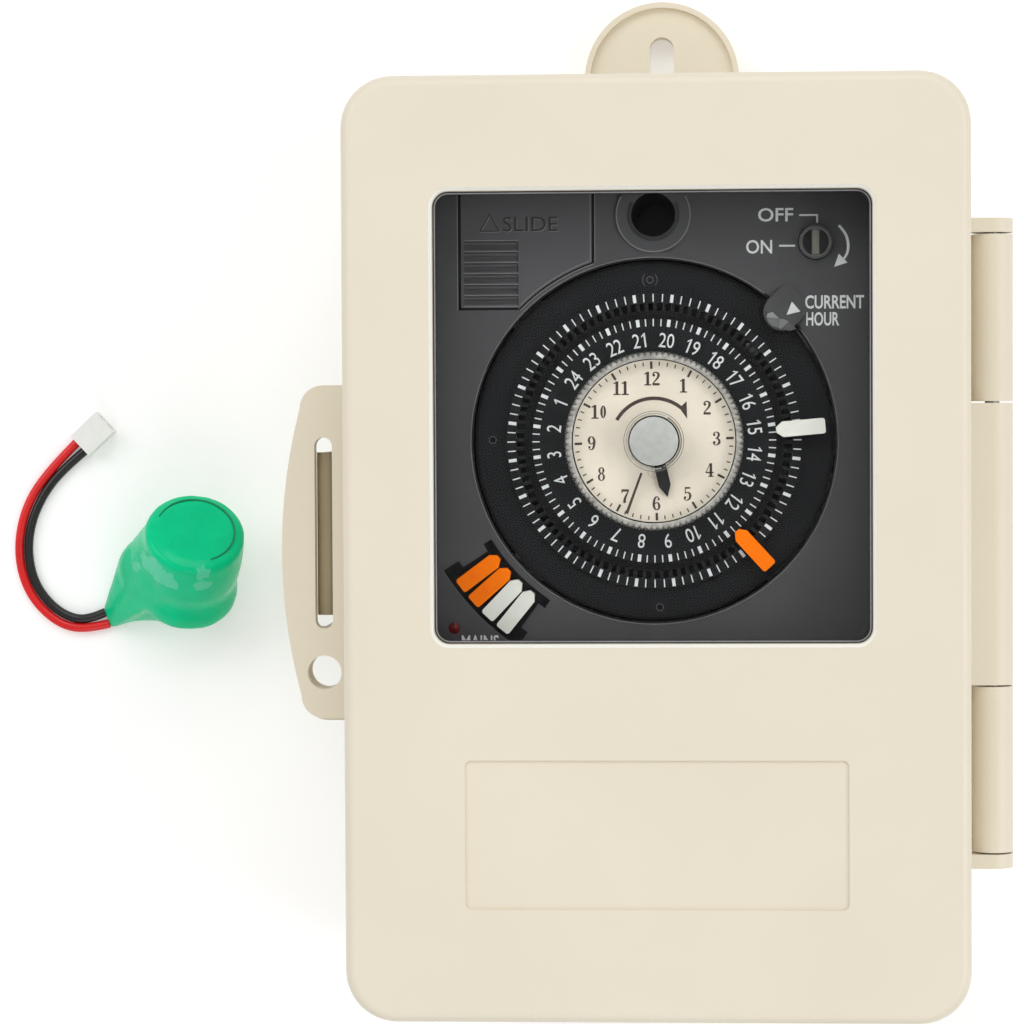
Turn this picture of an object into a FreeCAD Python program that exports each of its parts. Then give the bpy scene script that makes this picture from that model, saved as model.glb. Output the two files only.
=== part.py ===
import FreeCAD
import Part
import Sketcher
import math
import os

# Wall-mounted 24-hour mechanical timer in a hinged plastic box, with its spare battery pack
# lying beside it. Millimetres. The origin is the centre of the rear face that goes on the
# wall: +X to the hinge, +Y up to the hanging ear, +Z out of the front of the box.

doc = FreeCAD.newDocument("Timer")
sheet = doc.addObject("Spreadsheet::Sheet", "Dims")
cell_rows = []
nodes = []


class Size:
    """A length with its number and the sheet expression that gives it."""

    def __init__(self, number, text):
        self.number = float(number)
        self.text = text

    def __add__(self, other):
        other = as_size(other)
        return Size(self.number + other.number, "(%s + %s)" % (self.text, other.text))

    def __radd__(self, other):
        return as_size(other) + self

    def __sub__(self, other):
        other = as_size(other)
        return Size(self.number - other.number, "(%s - %s)" % (self.text, other.text))

    def __rsub__(self, other):
        return as_size(other) - self

    def __mul__(self, other):
        other = as_size(other)
        return Size(self.number * other.number, "(%s * %s)" % (self.text, other.text))

    def __rmul__(self, other):
        return self * other

    def __truediv__(self, other):
        other = as_size(other)
        return Size(self.number / other.number, "(%s / %s)" % (self.text, other.text))

    def __neg__(self):
        return Size(-self.number, "(0 - %s)" % self.text)


def as_size(value):
    if isinstance(value, Size):
        return value
    return Size(value, "(%.6f)" % value)


def root_of(value):
    return Size(math.sqrt(value.number), "sqrt(%s)" % value.text)


def cos_of(angle):
    angle = as_size(angle)
    return Size(math.cos(math.radians(angle.number)), "cos(%s * 1 deg)" % angle.text)


def sin_of(angle):
    angle = as_size(angle)
    return Size(math.sin(math.radians(angle.number)), "sin(%s * 1 deg)" % angle.text)


def size(name, number):
    """Writes one driving dimension to the sheet and returns it."""
    cell_rows.append(name)
    row = len(cell_rows)
    sheet.set("A%d" % row, name)
    sheet.set("B%d" % row, repr(number))
    sheet.setAlias("B%d" % row, name)
    return Size(number, "Dims.%s" % name)


# A half circle is drawn with a radius a hair over half its chord, so that it has one side
ROUND_END = 1.000001
STORED_SETTERS = 4

# Case and door
case_width = size("case_width", 103)
case_height = size("case_height", 156)
case_corner = size("case_corner", 8.5)
wall = size("wall", 2.5)
back_wall = size("back_wall", 2.5)
base_depth = size("base_depth", 50)
door_depth = size("door_depth", 24)
door_edge = size("door_edge", 1.8)
parting_gap = size("parting_gap", 0.4)
running_gap = size("running_gap", 0.05)
free_gap = size("free_gap", 0.3)

# Hanging ear and rear screw holes
ear_x = size("ear_x", 0.95)
ear_radius = size("ear_radius", 14.2)
ear_rise = size("ear_rise", 20)
ear_thick = size("ear_thick", 4)
ear_rim = size("ear_rim", 1)
ear_rim_height = size("ear_rim_height", 1.2)
ear_slot_width = size("ear_slot_width", 4.4)
ear_slot_top = size("ear_slot_top", 6.3)
ear_slot_length = size("ear_slot_length", 11.4)
wall_hole = size("wall_hole", 2.25)
wall_hole_spacing = size("wall_hole_spacing", 70)
wall_hole_y = size("wall_hole_y", -66)
knockout_radius = size("knockout_radius", 11)
knockout_pitch = size("knockout_pitch", 29)
knockout_groove = size("knockout_groove", 0.8)
knockout_wide = size("knockout_wide", 1)

# Lock flange on the left
flange_reach = size("flange_reach", 12.5)
flange_shoulder = size("flange_shoulder", 9.3)
flange_top = size("flange_top", 27.5)
flange_bottom = size("flange_bottom", -29.5)
flange_corner = size("flange_corner", 4)
flange_thick = size("flange_thick", 3.3)
flange_rim = size("flange_rim", 1)
flange_lap = size("flange_lap", 0.6)
slot_centre = size("slot_centre", 5.3)
slot_width = size("slot_width", 3)
slot_play = size("slot_play", 0.9)
slot_top = size("slot_top", 18.6)
slot_bottom = size("slot_bottom", -14.1)
lock_hole = size("lock_hole", 2.9)
lock_hole_y = size("lock_hole_y", -21.6)

# Hinge on the right
hinge_offset = size("hinge_offset", 5.5)
hinge_radius = size("hinge_radius", 3.5)
pin_radius = size("pin_radius", 1.25)
centre_knuckle = size("centre_knuckle", 47.8)
side_knuckle = size("side_knuckle", 28.2)
cap_knuckle = size("cap_knuckle", 2.4)
cap_closed = size("cap_closed", 1)

# Window
window_width = size("window_width", 72)
window_height = size("window_height", 74.4)
window_x = size("window_x", -0.5)
window_y = size("window_y", 21.8)
window_corner = size("window_corner", 2.6)
window_bevel = size("window_bevel", 0.6)
seal_show = size("seal_show", 0.5)
seal_thick = size("seal_thick", 0.8)
pane_lap = size("pane_lap", 2.4)
pane_thick = size("pane_thick", 2)
peg_radius = size("peg_radius", 1.2)
peg_length = size("peg_length", 3.6)
peg_spread = size("peg_spread", 0.3)
peg_clear = size("peg_clear", 0.2)
label_width = size("label_width", 63)
label_height = size("label_height", 24.6)
label_y = size("label_y", -46.8)
label_depth = size("label_depth", 0.4)
label_corner = size("label_corner", 1)
gasket_wide = size("gasket_wide", 1.3)
gasket_tall = size("gasket_tall", 2)

# Latch arm under the flange slot
latch_pivot_drop = size("latch_pivot_drop", 14)
latch_pivot_in = size("latch_pivot_in", 2.6)
latch_head = size("latch_head", 1.7)
latch_stem = size("latch_stem", 1.4)
latch_hub = size("latch_hub", 2.1)
latch_pin = size("latch_pin", 1)
latch_swing = size("latch_swing", 1.5)
latch_top_gap = size("latch_top_gap", 2.6)
latch_low_gap = size("latch_low_gap", 2.1)
lug_thick = size("lug_thick", 2.5)
lug_margin = size("lug_margin", 1)

# Timer module
module_width = size("module_width", 86)
module_top = size("module_top", 65)
module_bottom = size("module_bottom", -30)
module_rear = size("module_rear", 22)
module_wall = size("module_wall", 2)
module_corner = size("module_corner", 3)
face_level = size("face_level", 60)
face_thick = size("face_thick", 2.5)
dial_x = size("dial_x", -0.3)
dial_y = size("dial_y", 17.8)
dial_opening = size("dial_opening", 30.4)
opening_rim = size("opening_rim", 0.5)
screw_column = size("screw_column", 5.3)
screw_well = size("screw_well", 3.7)
screw_collar = size("screw_collar", 6.3)
collar_height = size("collar_height", 0.5)
screw_radius = size("screw_radius", 1.45)
screw_head = size("screw_head", 3)
screw_head_tall = size("screw_head_tall", 2.2)
screw_length = size("screw_length", 14)
screw_end_gap = size("screw_end_gap", 1)
post_radius = size("post_radius", 4)
top_screw_y = size("top_screw_y", 55.6)
low_screw_x = size("low_screw_x", 36)
low_screw_y = size("low_screw_y", -24)

# Battery well and its sliding cover
cover_left = size("cover_left", -32.7)
cover_right = size("cover_right", -10)
cover_bottom = size("cover_bottom", 22.1)
cover_top = size("cover_top", 62.8)
cover_arc = size("cover_arc", 31.5)
cover_thick = size("cover_thick", 1.2)
cover_gap = size("cover_gap", 0.12)
grip_count = size("grip_count", 6)
grip_pitch = size("grip_pitch", 1.83)
grip_width = size("grip_width", 0.9)
grip_depth = size("grip_depth", 0.4)
grip_length = size("grip_length", 9.2)
well_x = size("well_x", -21.8)
well_y = size("well_y", 53.2)
well_radius = size("well_radius", 9.4)
well_wall = size("well_wall", 1.2)
well_depth = size("well_depth", 19)

# Program dial
dial_radius = size("dial_radius", 30)
dial_level = size("dial_level", 58.4)
dial_thick = size("dial_thick", 3)
dial_step = size("dial_step", 0.8)
dial_step_radius = size("dial_step_radius", 24.9)
dial_neck = size("dial_neck", 5.5)
dial_neck_top = size("dial_neck_top", 6.5)
slot_count = size("slot_count", 96)
slot_inner = size("slot_inner", 20.8)
slot_outer = size("slot_outer", 23.1)
slot_wide = size("slot_wide", 0.8)

# Setters
setter_inner = size("setter_inner", 20.5)
setter_length = size("setter_length", 8.2)
setter_width = size("setter_width", 2.6)
setter_height = size("setter_height", 2)
setter_point = size("setter_point", 1.1)
setter_nose = size("setter_nose", 0.45)
setter_corner = size("setter_corner", 0.45)
setter_foot = size("setter_foot", 4.4)
setter_seat = size("setter_seat", 0.1)
setter_gap = size("setter_gap", 0.05)
store_shift = size("store_shift", 12.1)
store_depth = size("store_depth", 2)
store_first = size("store_first", 216.7)
store_pitch = size("store_pitch", 4.75)
store_margin = size("store_margin", 0.7)
store_end = size("store_end", 3.4)
store_ear = size("store_ear", 1.35)
store_ear_near = size("store_ear_near", 1.6)
store_ear_far = size("store_ear_far", 3)

# Clock parts and gears
tube_inner = size("tube_inner", 3.1)
tube_outer = size("tube_outer", 4.05)
tube_flange = size("tube_flange", 7)
tube_flange_thick = size("tube_flange_thick", 0.8)
hour_bore = size("hour_bore", 2.1)
clock_radius = size("clock_radius", 13.6)
clock_thick = size("clock_thick", 0.8)
hand_length = size("hand_length", 9.7)
hand_width = size("hand_width", 2)
hand_hub = size("hand_hub", 4.3)
hand_thick = size("hand_thick", 0.5)
clear_radius = size("clear_radius", 14.95)
clear_thick = size("clear_thick", 0.8)
clear_rim = size("clear_rim", 1)
clear_hub = size("clear_hub", 5.1)
clear_hub_top = size("clear_hub_top", 64.8)
clear_gap = size("clear_gap", 0.4)
scallop_count = size("scallop_count", 90)
scallop_depth = size("scallop_depth", 0.35)
scallop_over = size("scallop_over", 0.2)
cap_radius = size("cap_radius", 4.05)
cap_height = size("cap_height", 0.8)
cap_dome = size("cap_dome", 0.3)
hour_angle = size("hour_angle", -76.6)
gear_module = size("gear_module", 0.5)
hour_module = size("hour_module", 0.48)
gear_thick = size("gear_thick", 2)
cannon_step = size("cannon_step", 4)
wheel_step = size("wheel_step", 4.5)
dial_wheel_step = size("dial_wheel_step", 1.5)
motion_step = size("motion_step", 0.5)
motion_pinion_step = size("motion_pinion_step", 3.5)
motor_pinion_drop = size("motor_pinion_drop", 0.5)
arbor_radius = size("arbor_radius", 0.9)
arbor_over = size("arbor_over", 1)
arbor_end_gap = size("arbor_end_gap", 0.5)
plate_level = size("plate_level", 47)
plate_thick = size("plate_thick", 1.5)
plate_reach = size("plate_reach", 24)
plate_margin = size("plate_margin", 4)
plate_corner = size("plate_corner", 4)
pillar_spread = size("pillar_spread", 20)
pillar_radius = size("pillar_radius", 2)
motor_radius = size("motor_radius", 9.5)
motor_height = size("motor_height", 5)
bearing_height = size("bearing_height", 4.5)
bearing_wall = size("bearing_wall", 2)

# Manual switch, trip lever and microswitch
knob_x = size("knob_x", 27)
knob_y = size("knob_y", 33)
knob_radius = size("knob_radius", 2.8)
knob_rise = size("knob_rise", 1.2)
knob_recess = size("knob_recess", 2.2)
knob_recess_depth = size("knob_recess_depth", 1.6)
knob_depth = size("knob_depth", 3)
knob_bar = size("knob_bar", 1.35)
spindle_radius = size("spindle_radius", 1.5)
spindle_drop = size("spindle_drop", 1)
cam_radius = size("cam_radius", 5)
cam_valley = size("cam_valley", 3.3)
cam_level = size("cam_level", 46)
cam_thick = size("cam_thick", 3)
index_centre = size("index_centre", 30.3)
index_radius = size("index_radius", 3.1)
index_foot = size("index_foot", 30.9)
index_end = size("index_end", 34.5)
index_crest = size("index_crest", 28.6)
index_level = size("index_level", 60.9)
index_nose_top = size("index_nose_top", 61.5)
index_crest_top = size("index_crest_top", 61.7)
index_angle = size("index_angle", 45)
lever_x = size("lever_x", 27)
lever_y = size("lever_y", 18)
lever_level = size("lever_level", 51.8)
lever_thick = size("lever_thick", 1.6)
lever_nose = size("lever_nose", 22)
lever_angle = size("lever_angle", 45)
lever_hub = size("lever_hub", 3)
lever_end_gap = size("lever_end_gap", 7)
switch_length = size("switch_length", 20)
switch_height = size("switch_height", 8)
switch_thick = size("switch_thick", 6.4)
switch_hole = size("switch_hole", 1.1)
switch_hole_inset = size("switch_hole_inset", 2.5)
switch_hole_spread = size("switch_hole_spread", 0.3)
button_radius = size("button_radius", 0.9)
lamp_x = size("lamp_x", -33.7)
lamp_y = size("lamp_y", -31.4)
lamp_radius = size("lamp_radius", 0.95)
lamp_rim = size("lamp_rim", 1)
lamp_dome = size("lamp_dome", 0.3)

# Circuit board and terminals
board_level = size("board_level", 30)
board_thick = size("board_thick", 1.6)
board_width = size("board_width", 66)
board_height = size("board_height", 12)
board_y = size("board_y", -12)
board_margin = size("board_margin", 2)
board_post = size("board_post", 1.6)
board_post_x = size("board_post_x", 25)
terminal_count = size("terminal_count", 5)
terminal_pitch = size("terminal_pitch", 12)
terminal_depth = size("terminal_depth", 20)
terminal_height = size("terminal_height", 18)
terminal_y = size("terminal_y", -43)
terminal_margin = size("terminal_margin", 2)
terminal_screw_drop = size("terminal_screw_drop", 1)
terminal_screw = size("terminal_screw", 2.6)
terminal_well = size("terminal_well", 4)
terminal_well_depth = size("terminal_well_depth", 7)
wire_entry = size("wire_entry", 5)
clamp_thick = size("clamp_thick", 1)
clamp_half = size("clamp_half", 2.72)
choke_length = size("choke_length", 13)
choke_width = size("choke_width", 9)
choke_height = size("choke_height", 10)
capacitor_radius = size("capacitor_radius", 4)
crystal_radius = size("crystal_radius", 1.5)

# Battery pack beside the box
pack_x = size("pack_x", -87.8)
pack_y = size("pack_y", -10.7)
pack_tilt = size("pack_tilt", 43)
pack_lean = size("pack_lean", -17)
cell_radius = size("cell_radius", 8.6)
cell_height = size("cell_height", 5.8)
cell_edge = size("cell_edge", 0.8)
film_thick = size("film_thick", 0.6)
film_gap = size("film_gap", 0.05)
film_ring = size("film_ring", 7.2)
film_ring_height = size("film_ring_height", 0.25)
lead_radius = size("lead_radius", 0.65)
lead_level = size("lead_level", 0.75)
plug_long = size("plug_long", 6.5)
plug_wide = size("plug_wide", 5)
plug_tall = size("plug_tall", 3.6)
plug_mouth = size("plug_mouth", 3)
plug_mouth_half = size("plug_mouth_half", 0.6)
plug_way = size("plug_way", 1.1)
contact_half_wide = size("contact_half_wide", 0.45)
contact_half_tall = size("contact_half_tall", 0.2)
contact_length = size("contact_length", 2.6)
doc.recompute()
no_size = Size(0, "0")

half_width = case_width / 2
half_height = case_height / 2
door_rear = base_depth + parting_gap
door_front = base_depth + door_depth
hinge_x = half_width + hinge_offset
hinge_z = base_depth
slot_x = -(half_width + slot_centre)
face_rear = face_level - face_thick
floor_level = module_rear + module_wall
dial_rear = dial_level - dial_thick
pivot_x = slot_x + latch_pivot_in


def plane_of(body, role):
    return [item for item in body.Origin.OriginFeatures if item.Role == role][0]


def new_body(name):
    body = doc.addObject("PartDesign::Body", name)
    body.Label = name
    nodes.append(body)
    return body


def new_sketch(body, role, offset):
    """A sketch on an origin plane of the body, moved along the plane's normal."""
    sketch = body.newObject("Sketcher::SketchObject", "Profile")
    sketch.AttachmentSupport = (plane_of(body, role), [""])
    sketch.MapMode = "FlatFace"
    sketch.setExpression("AttachmentOffset.Base.z", as_size(offset).text)
    return sketch


def bind(sketch, constraint, value):
    index = sketch.addConstraint(constraint)
    sketch.setExpression("Constraints[%d]" % index, value.text)


def fix_point(sketch, item, end, x, y):
    bind(sketch, Sketcher.Constraint("DistanceX", -1, 1, item, end, x.number), x)
    bind(sketch, Sketcher.Constraint("DistanceY", -1, 1, item, end, y.number), y)


def add_circle(sketch, x, y, radius):
    x, y, radius = as_size(x), as_size(y), as_size(radius)
    centre = FreeCAD.Vector(x.number, y.number, 0)
    item = sketch.addGeometry(Part.Circle(centre, FreeCAD.Vector(0, 0, 1), radius.number), False)
    fix_point(sketch, item, 3, x, y)
    bind(sketch, Sketcher.Constraint("Radius", item, radius.number), radius)


def arc_between(start, end, radius, left):
    """The shorter arc from start to end, bulging to the left or right of that direction."""
    chord = end - start
    half = chord.Length / 2
    height = math.sqrt(max(radius * radius - half * half, 0.0))
    side = FreeCAD.Vector(-chord.y, chord.x, 0).normalize() * (1 if left else -1)
    centre = (start + end) * 0.5 - side * height
    middle = centre + side * radius
    return Part.Arc(start, middle, end)


def add_outline(sketch, corners):
    """A closed outline. A corner is (x, y) or (x, y, radius), where the stretch that
    follows the corner is an arc: a positive radius bulges left, a negative one right."""
    points = []
    for corner in corners:
        x, y = as_size(corner[0]), as_size(corner[1])
        bend = as_size(corner[2]) if len(corner) > 2 else None
        points.append((x, y, bend))
    items = []
    for index, (x, y, bend) in enumerate(points):
        nx, ny = points[(index + 1) % len(points)][:2]
        start = FreeCAD.Vector(x.number, y.number, 0)
        end = FreeCAD.Vector(nx.number, ny.number, 0)
        if bend is None:
            item = sketch.addGeometry(Part.LineSegment(start, end), False)
            items.append((item, 1, 2))
        else:
            left = bend.number > 0
            item = sketch.addGeometry(arc_between(start, end, abs(bend.number), left), False)
            items.append((item, 2, 1) if left else (item, 1, 2))
            radius = bend if left else -bend
            bind(sketch, Sketcher.Constraint("Radius", item, radius.number), radius)
    for index, (item, start_end, stop_end) in enumerate(items):
        following = items[(index + 1) % len(items)]
        sketch.addConstraint(
            Sketcher.Constraint("Coincident", item, stop_end, following[0], following[1]))
        x, y = points[index][:2]
        fix_point(sketch, item, start_end, x, y)


def add_rectangle(sketch, x0, y0, x1, y1):
    add_outline(sketch, [(x0, y0), (x1, y0), (x1, y1), (x0, y1)])


def add_round_rectangle(sketch, x0, y0, x1, y1, r):
    """Corners run anticlockwise, so each corner arc bulges right of its direction."""
    add_outline(sketch, [
        (x0 + r, y0), (x1 - r, y0, -r), (x1, y0 + r), (x1, y1 - r, -r),
        (x1 - r, y1), (x0 + r, y1, -r), (x0, y1 - r), (x0, y0 + r, -r)])


def add_obround(sketch, x, y0, y1, half):
    """A slot with round ends that runs along Y."""
    add_outline(sketch, [
        (x + half, y0 + half), (x + half, y1 - half, -half * ROUND_END),
        (x - half, y1 - half), (x - half, y0 + half, -half * ROUND_END)])


def pad(body, sketch, length):
    feature = body.newObject("PartDesign::Pad", "Pad")
    feature.Profile = sketch
    feature.setExpression("Length", as_size(length).text)
    return feature


def cut_up(body, sketch, length):
    """Cuts from the sketch in the direction of its plane's normal."""
    feature = body.newObject("PartDesign::Pocket", "Pocket")
    feature.Profile = sketch
    feature.Reversed = True
    feature.setExpression("Length", as_size(length).text)
    return feature


def revolve(body, sketch):
    feature = body.newObject("PartDesign::Revolution", "Revolution")
    feature.Profile = sketch
    feature.ReferenceAxis = (sketch, ["V_Axis"])
    feature.Angle = 360
    return feature


def round_pattern(body, feature, count):
    pattern = body.newObject("PartDesign::PolarPattern", "PolarPattern")
    pattern.Originals = [feature]
    pattern.Axis = (plane_of(body, "Z_Axis"), [""])
    pattern.Angle = 360
    pattern.setExpression("Occurrences", count.text)
    body.Tip = pattern
    return pattern


def place(body, x, y, z=0.0, angle=None):
    body.setExpression("Placement.Base.x", as_size(x).text)
    body.setExpression("Placement.Base.y", as_size(y).text)
    body.setExpression("Placement.Base.z", as_size(z).text)
    if angle is not None:
        body.Placement.Rotation = FreeCAD.Rotation(FreeCAD.Vector(0, 0, 1), 1)
        body.setExpression("Placement.Rotation.Angle", as_size(angle).text + " * 1 deg")


def pad_outline(body, z, length, corners):
    sketch = new_sketch(body, "XY_Plane", z)
    add_outline(sketch, corners)
    return pad(body, sketch, length)


def pad_circles(body, z, length, circles):
    sketch = new_sketch(body, "XY_Plane", z)
    for x, y, radius in circles:
        add_circle(sketch, x, y, radius)
    return pad(body, sketch, length)


def cut_circles(body, z, length, circles):
    sketch = new_sketch(body, "XY_Plane", z)
    for x, y, radius in circles:
        add_circle(sketch, x, y, radius)
    return cut_up(body, sketch, length)


def cut_outline(body, z, length, corners):
    sketch = new_sketch(body, "XY_Plane", z)
    add_outline(sketch, corners)
    return cut_up(body, sketch, length)


def case_outline(sketch, inset):
    """The outline of the case, moved inwards by the inset."""
    add_round_rectangle(
        sketch, inset - half_width, inset - half_height, half_width - inset,
        half_height - inset, case_corner - inset)


def case_plate(body, z, length):
    sketch = new_sketch(body, "XY_Plane", z)
    case_outline(sketch, no_size)
    return pad(body, sketch, length)


def case_ring(body, z, length, outer, inner):
    """A wall that follows the outline of the case between two insets."""
    sketch = new_sketch(body, "XY_Plane", z)
    case_outline(sketch, outer)
    case_outline(sketch, inner)
    return pad(body, sketch, length)


def along_y(body, y_low, y_high, draw):
    """Pads a profile drawn in X and Z from y_low to y_high."""
    sketch = new_sketch(body, "XZ_Plane", -as_size(y_high))
    draw(sketch)
    return pad(body, sketch, as_size(y_high) - y_low)


def cut_along_y(body, y_low, y_high, draw):
    """Cuts a profile drawn in X and Z from y_low to y_high."""
    sketch = new_sketch(body, "XZ_Plane", -as_size(y_high))
    draw(sketch)
    return cut_up(body, sketch, as_size(y_high) - y_low)


def bore_along_y(body, y_low, y_high, x, z, radius):
    return cut_along_y(body, y_low, y_high, lambda sketch: add_circle(sketch, x, z, radius))


def round_edges(body, feature, radius, chosen):
    """Fillets the edges of the feature that the chosen function accepts."""
    doc.recompute()
    names = ["Edge%d" % (i + 1) for i, edge in enumerate(feature.Shape.Edges) if chosen(edge)]
    fillet = body.newObject("PartDesign::Fillet", "Fillet")
    fillet.Base = (feature, names)
    fillet.setExpression("Radius", radius.text)
    return fillet


def bevel_edges(body, feature, width, chosen):
    doc.recompute()
    names = ["Edge%d" % (i + 1) for i, edge in enumerate(feature.Shape.Edges) if chosen(edge)]
    chamfer = body.newObject("PartDesign::Chamfer", "Chamfer")
    chamfer.Base = (feature, names)
    chamfer.setExpression("Size", width.text)
    return chamfer


def at_height(edge, z):
    box = edge.BoundBox
    return abs(box.ZMin - z.number) < 1e-4 and abs(box.ZMax - z.number) < 1e-4


def flange_outline(x_inner, grow, lap):
    """The lock flange: a long shallow arc outside, with a small round at each end."""
    shoulder = -(half_width + flange_shoulder) - grow
    top = flange_top + grow
    bottom = flange_bottom - grow - lap
    c = flange_corner
    rise = (flange_reach - flange_shoulder)
    half = (top - bottom) / 2 - c
    bow = (half * half + rise * rise) / (rise * 2)
    return [
        (x_inner, bottom), (x_inner, top), (shoulder + c, top, -c),
        (shoulder, top - c, -bow), (shoulder, bottom + c, -c), (shoulder + c, bottom)]


def hinge_arm(z_low, z_high):
    def draw(sketch):
        add_rectangle(sketch, half_width - wall / 2, z_low, hinge_x, z_high)
    return draw


def hinge_barrel(sketch):
    add_circle(sketch, hinge_x, hinge_z, hinge_radius)


def knuckle(body, y_low, y_high, z_low, z_high):
    along_y(body, y_low, y_high, hinge_arm(z_low, z_high))
    return along_y(body, y_low, y_high, hinge_barrel)


side_start = centre_knuckle / 2 + free_gap
side_end = side_start + side_knuckle
cap_start = side_end + free_gap
cap_end = cap_start + cap_knuckle
latch_low = slot_bottom + latch_low_gap
latch_high = slot_top - latch_top_gap
latch_pivot_z = base_depth - latch_pivot_drop
lug_bottom = latch_pivot_z - latch_hub - lug_margin
flange_level = base_depth - flange_thick - parting_gap
screw_places = [
    (dial_x, top_screw_y), (low_screw_x, low_screw_y), (-low_screw_x, low_screw_y)]


def make_rear_case():
    body = new_body("rear_case")
    case_plate(body, 0, back_wall)
    posts = [(x, y, post_radius) for x, y in screw_places]
    pad_circles(body, back_wall, module_rear - back_wall, posts)
    pilots = [(x, y, screw_radius + running_gap) for x, y in screw_places]
    cut_circles(body, module_rear - screw_length, screw_length, pilots)
    half_spacing = wall_hole_spacing / 2
    cut_circles(body, 0, back_wall,
                [(-half_spacing, wall_hole_y, wall_hole), (half_spacing, wall_hole_y, wall_hole)])


def make_case_walls():
    body = new_body("case_walls")
    case_ring(body, back_wall, base_depth - back_wall, no_size, wall)
    pad_outline(body, flange_level, flange_thick,
                flange_outline(wall / 2 - half_width, no_size, flange_lap))
    sketch = new_sketch(body, "XY_Plane", flange_level)
    outer = slot_x - slot_width / 2 - latch_swing
    inner = slot_x + slot_width / 2 + slot_play
    add_rectangle(sketch, outer, slot_bottom, inner, slot_top)
    add_circle(sketch, slot_x, lock_hole_y, lock_hole)
    cut_up(body, sketch, flange_thick)

    def lug(sketch):
        add_rectangle(sketch, pivot_x - latch_hub - lug_margin, lug_bottom, wall / 2 - half_width,
                      flange_level)
    along_y(body, slot_bottom - lug_thick, slot_bottom, lug)
    along_y(body, slot_top, slot_top + lug_thick, lug)
    bore_along_y(body, slot_bottom - lug_thick, slot_top + lug_thick, pivot_x, latch_pivot_z,
                 latch_pin)

    low = hinge_z - hinge_radius
    high = base_depth - parting_gap
    knuckle(body, side_start, side_end, low, high)
    knuckle(body, -side_end, -side_start, low, high)
    bore_along_y(body, -side_end, side_end, hinge_x, hinge_z, pin_radius + running_gap)
    sketch = new_sketch(body, "XZ_Plane", half_height - knockout_groove)
    for index in (-1, 0, 1):
        x = knockout_pitch * index
        add_circle(sketch, x, base_depth / 2, knockout_radius)
        add_circle(sketch, x, base_depth / 2, knockout_radius - knockout_wide)
    cut_up(body, sketch, knockout_groove)


def dome_outline(radius):
    centre = half_height + ear_rise - ear_radius
    return [(ear_x - radius, half_height), (ear_x + radius, half_height),
            (ear_x + radius, centre, -radius * ROUND_END), (ear_x - radius, centre)]


def make_hanging_ear():
    body = new_body("hanging_ear")
    pad_outline(body, 0, ear_thick + ear_rim_height, dome_outline(ear_radius))
    cut_outline(body, ear_thick, ear_rim_height, dome_outline(ear_radius - ear_rim))
    slot_end = half_height + ear_rise - ear_slot_top
    sketch = new_sketch(body, "XY_Plane", 0)
    add_obround(sketch, ear_x, slot_end - ear_slot_length, slot_end, ear_slot_width / 2)
    cut_up(body, sketch, ear_thick)


def make_door():
    body = new_body("door")
    plate = case_plate(body, door_front - wall, wall)
    round_edges(body, plate, door_edge, lambda edge: at_height(edge, door_front))
    sketch = new_sketch(body, "XY_Plane", door_front - wall)
    add_round_rectangle(
        sketch, window_x - window_width / 2, window_y - window_height / 2,
        window_x + window_width / 2, window_y + window_height / 2, window_corner)
    opening = cut_up(body, sketch, wall)
    limit = window_width.number / 2 + window_corner.number

    def window_edge(edge):
        box = edge.BoundBox
        inside = abs(box.XMin - window_x.number) < limit and abs(box.XMax - window_x.number) < limit
        return at_height(edge, door_front) and inside
    bevel_edges(body, opening, window_bevel, window_edge)
    sketch = new_sketch(body, "XY_Plane", door_front - label_depth)
    add_round_rectangle(
        sketch, -label_width / 2, label_y - label_height / 2, label_width / 2,
        label_y + label_height / 2, label_corner)
    cut_up(body, sketch, label_depth)
    pegs = []
    reach_x = window_width / 2 + pane_lap + peg_radius + peg_clear
    reach_y = window_height / 2 + pane_lap + peg_radius + peg_clear
    for side in (-1, 1):
        for step in (-1, 1):
            pegs.append((window_x + reach_x * side, window_y + window_height * peg_spread * step,
                         peg_radius))
            pegs.append((window_x + window_width * peg_spread * step, window_y + reach_y * side,
                         peg_radius))
    pad_circles(body, door_front - wall - peg_length, peg_length + wall / 2, pegs)


def make_door_walls():
    body = new_body("door_walls")
    case_ring(body, door_rear, door_front - wall - door_rear, no_size, wall)
    rebate = wall - gasket_wide
    sketch = new_sketch(body, "XY_Plane", door_rear)
    case_outline(sketch, rebate)
    cut_up(body, sketch, gasket_tall)
    pad_outline(body, door_rear, flange_thick,
                flange_outline(rebate / 2 - half_width, no_size, no_size))
    sketch = new_sketch(body, "XY_Plane", door_rear)
    add_obround(sketch, slot_x, slot_bottom, slot_top, slot_width / 2)
    add_circle(sketch, slot_x, lock_hole_y, lock_hole)
    cut_up(body, sketch, flange_thick)

    high = hinge_z + hinge_radius
    knuckle(body, -centre_knuckle / 2, centre_knuckle / 2, door_rear, high)
    knuckle(body, cap_start, cap_end, door_rear, high)
    knuckle(body, -cap_end, -cap_start, door_rear, high)
    bore_along_y(body, cap_closed - cap_end, cap_end - cap_closed, hinge_x, hinge_z,
                 pin_radius + running_gap)


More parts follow.
